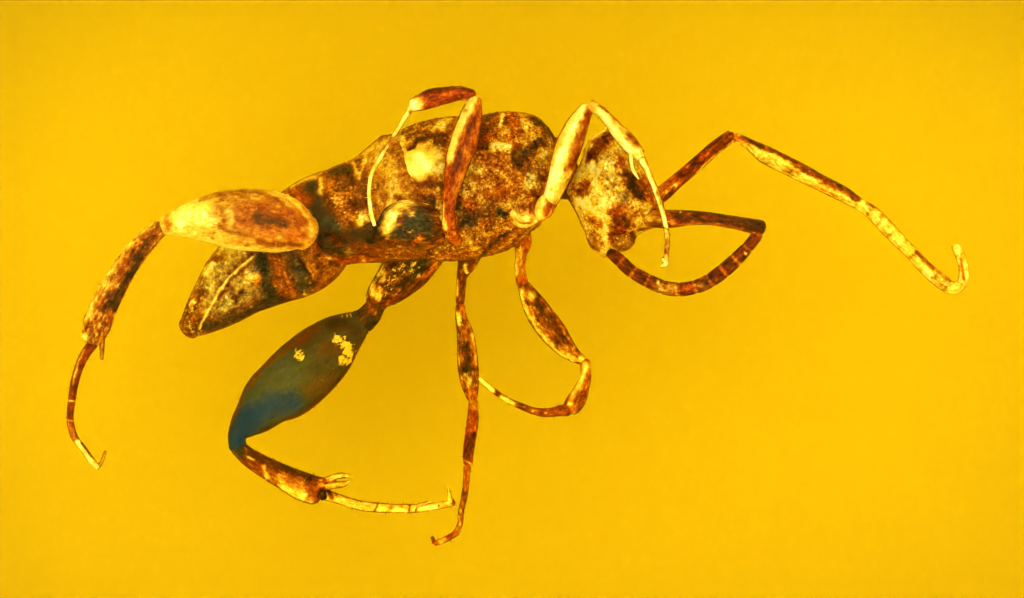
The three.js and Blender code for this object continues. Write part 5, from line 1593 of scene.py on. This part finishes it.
# Each segment's depth against its width, how many points it has round it, and how its marks wander.
SEGMENTS = {
    "coxa": (0.72, 72, 0.014),
    "trochanter": (0.72, 48, 0.01),
    "femur": (0.72, 72, 0.012),
    "tibia": (0.8, 48, 0.01),
    "tarsus": (1.0, 24, 0.006),
    "spurs": (1.0, 12, 0.003),
    "knobs": (1.0, 24, 0.005),
}

# What a limb's grain has on top of its base row's.
LIMB_GRAIN = 0.22

# Where the painted shade along a limb's sides starts, and its tone too on the thin parts.
LEG_EDGE_SHADE_START = 0.86
ANTENNA_EDGE_SHADE_START = 0.88
THIN_EDGE_SHADE = (0.28, 0.68)

# How many bristles a leg has to a square mm of its shin and foot, and the share of that elsewhere on it.
BRISTLE_DENSITY = 260
FEW_BRISTLES = 0.25


def limb_shell(stations, base, depth, around, place):
    """A limb's segment in its base coat, with the pattern read from a place of its own."""
    tone, hue, grain = base
    shell = base_coat(Shell(stations, depth, around), tone, hue, grain + LIMB_GRAIN)
    shell.way = shell.way + place * PATTERN_STEP
    return shell


def leg(name, stations, marks, material, hairs, seed, edge):
    """One leg, with its bristles. edge is the tone of the painted shade along its thick parts, if it has one.
    """
    shells = []
    for segment, (depth, around, wander) in SEGMENTS.items():
        rows = stations.get(segment)
        if not rows:
            continue
        base, *painted = marks[segment]
        for line in (rows if segment in ("spurs", "knobs") else [rows]):
            shell = limb_shell(line, base, depth, around, len(shells))
            near_coxa = segment == "coxa" and line[0][2] > 0
            side_shade = (None if near_coxa else edge, LEG_EDGE_SHADE_START)
            if segment in ("tarsus", "spurs"):
                side_shade = THIN_EDGE_SHADE
            rough = ((0.07, 0.012), (0.025, 0.006))
            paint_marks_and_shade(shell, painted, seed, wander, relief=0.02, rough=rough, edge=side_shade)
            hairy = 1.0 if segment in ("tibia", "tarsus") else FEW_BRISTLES
            shell.crumb = np.full(len(shell.points), hairy)
            shells.append(shell)
    thing = piece(name, shells, material)
    scatter(name + "_bristles", thing, shells, hairs, BRISTLE_DENSITY, seed)


def antenna(name, stations, marks, material, seed, joint, edge):
    """One antenna, with joints along its whip. edge is the tone of the painted shade along its sides."""
    shells = []
    for segment in ("scape", "flagellum"):
        base, *painted = marks[segment]
        shell = limb_shell(stations[segment], base, 1.0, 36, len(shells))
        if segment == "flagellum":
            joints(shell, *joint)
        rough = ((0.05, 0.012), (0.025, 0.008))
        paint_marks_and_shade(shell, painted, seed, 0.008, relief=0.008, rough=rough, edge=(edge, ANTENNA_EDGE_SHADE_START))
        shells.append(shell)
    piece(name, shells, material)


# The floor, in metres: how far it reaches each way, and how far it lies under the slab.
FLOOR_REACH = 1.5
FLOOR_DROP = 0.02 * MM
FLOOR_COLOUR = (0.6, 0.6, 0.59, 1)


def floor():
    signs = ((-1, -1), (1, -1), (1, 1), (-1, 1))
    corners = [(x * FLOOR_REACH, y * FLOOR_REACH, -FLOOR_DROP) for x, y in signs]
    mesh = bpy.data.meshes.new("floor")
    mesh.from_pydata(corners, [], [(0, 1, 2, 3)])
    sockets = {"Base Color": FLOOR_COLOUR, "Roughness": 0.9, "Specular IOR Level": 0.0}
    mesh.materials.append(new_material("pale_floor", sockets)[0])
    in_scene("floor", mesh)


def softbox(name, azimuth, elevation, distance, size, radiance):
    """A square studio light that faces the slab. Azimuth 0 is towards +X and 90 towards +Y."""
    a, e = math.radians(azimuth), math.radians(elevation)
    toward = Vector((math.cos(a) * math.cos(e), math.sin(a) * math.cos(e), math.sin(e)))
    lamp = bpy.data.lights.new(name, "AREA")
    lamp.shape = "SQUARE"
    lamp.size = size
    lamp.energy = radiance * math.pi * size**2
    holder = in_scene(name, lamp)
    holder.location = toward * distance
    holder.rotation_mode = "QUATERNION"
    holder.rotation_quaternion = toward.to_track_quat("Z", "Y")


# The sky's brightness by the sine of its height, dark overhead where the window would mirror it.
SKY = [(0.0, 0.36), (0.26, 0.4), (0.45, 1.0), (0.93, 1.0), (0.985, 0.0)]
SKY_STRENGTH = 3.36


def studio():
    """One soft key light from the upper left, in a broad bright ring of sky."""
    softbox("key_light", azimuth=125, elevation=60, distance=0.6, size=0.3, radiance=6.0)
    world = bpy.data.worlds.new("studio")
    world.use_nodes = True
    tree = world.node_tree
    place = tree.nodes.new("ShaderNodeTexCoord")
    split = tree.nodes.new("ShaderNodeSeparateXYZ")
    tree.links.new(place.outputs["Generated"], split.inputs[0])
    sky = ramp(tree, split.outputs["Z"], [(height, (light,) * 3) for height, light in SKY])
    tree.links.new(sky, tree.nodes["Background"].inputs["Color"])
    tree.nodes["Background"].inputs["Strength"].default_value = SKY_STRENGTH
    bpy.context.scene.world = world


def camera():
    """Straight down on the insect through the window, which makes it look nearer than it is."""
    data = bpy.data.cameras.new("camera")
    data.lens = LENS_MM
    data.sensor_width = SENSOR_MM
    data.clip_start = MM
    holder = in_scene("camera", data)
    seen_height = SLAB_HEIGHT - (SLAB_HEIGHT - GIRDLE) / AMBER_IOR
    distance = FRAME_WIDTH_PX / PX_PER_MM * LENS_MM / SENSOR_MM
    holder.location = (0, 0, (seen_height + distance) * MM)
    bpy.context.scene.camera = holder


# Each leg's name, shape, marks, seed and the tone of the painted shade along its sides.
LEGS = [
    ("near_front_leg", NEAR_FRONT_LEG, NEAR_FRONT_MARKS, 4, 0.34),
    ("near_middle_leg", NEAR_MIDDLE_LEG, NEAR_MIDDLE_MARKS, 5, 0.3),
    ("near_hind_leg", NEAR_HIND_LEG, NEAR_HIND_MARKS, 6, None),
    ("far_front_leg", FAR_FRONT_LEG, FAR_FRONT_MARKS, 7, 0.3),
    ("far_middle_leg", FAR_MIDDLE_LEG, FAR_MIDDLE_MARKS, 8, 0.28),
    ("far_hind_leg", FAR_HIND_LEG, FAR_HIND_MARKS, 9, 0.17),
]


def insect():
    group = cuticle_group()
    rough = cuticle_material("rough_cuticle", group, relief=0.03, roughness=0.5)
    sleek = cuticle_material("sleek_cuticle", group, relief=0.014, roughness=0.4)
    dust = new_scatter("granules", rough, least=0.008, most=0.02, warmth=0.25)
    hairs = new_scatter("bristles", sleek, least=0.02, most=0.045, lean=BRISTLE_LEAN)
    abdomen(rough, dust)
    thorax(rough, dust)
    head(rough, dust)
    eyes(rough)
    for name, stations, marks, seed, edge in LEGS:
        leg(name, stations, marks, sleek, hairs, seed, edge)
    antenna("near_antenna", NEAR_ANTENNA, NEAR_ANTENNA_MARKS, sleek, 10, NEAR_JOINTS, 0.16)
    antenna("far_antenna", FAR_ANTENNA, FAR_ANTENNA_MARKS, sleek, 11, FAR_JOINTS, 0.34)


camera()
studio()
floor()
amber_slab()
insect()

scene = bpy.context.scene
scene.view_settings.view_transform = "Standard"
scene.cycles.use_denoising = True
scene.cycles.use_adaptive_sampling = True
scene.cycles.adaptive_threshold = 0.15
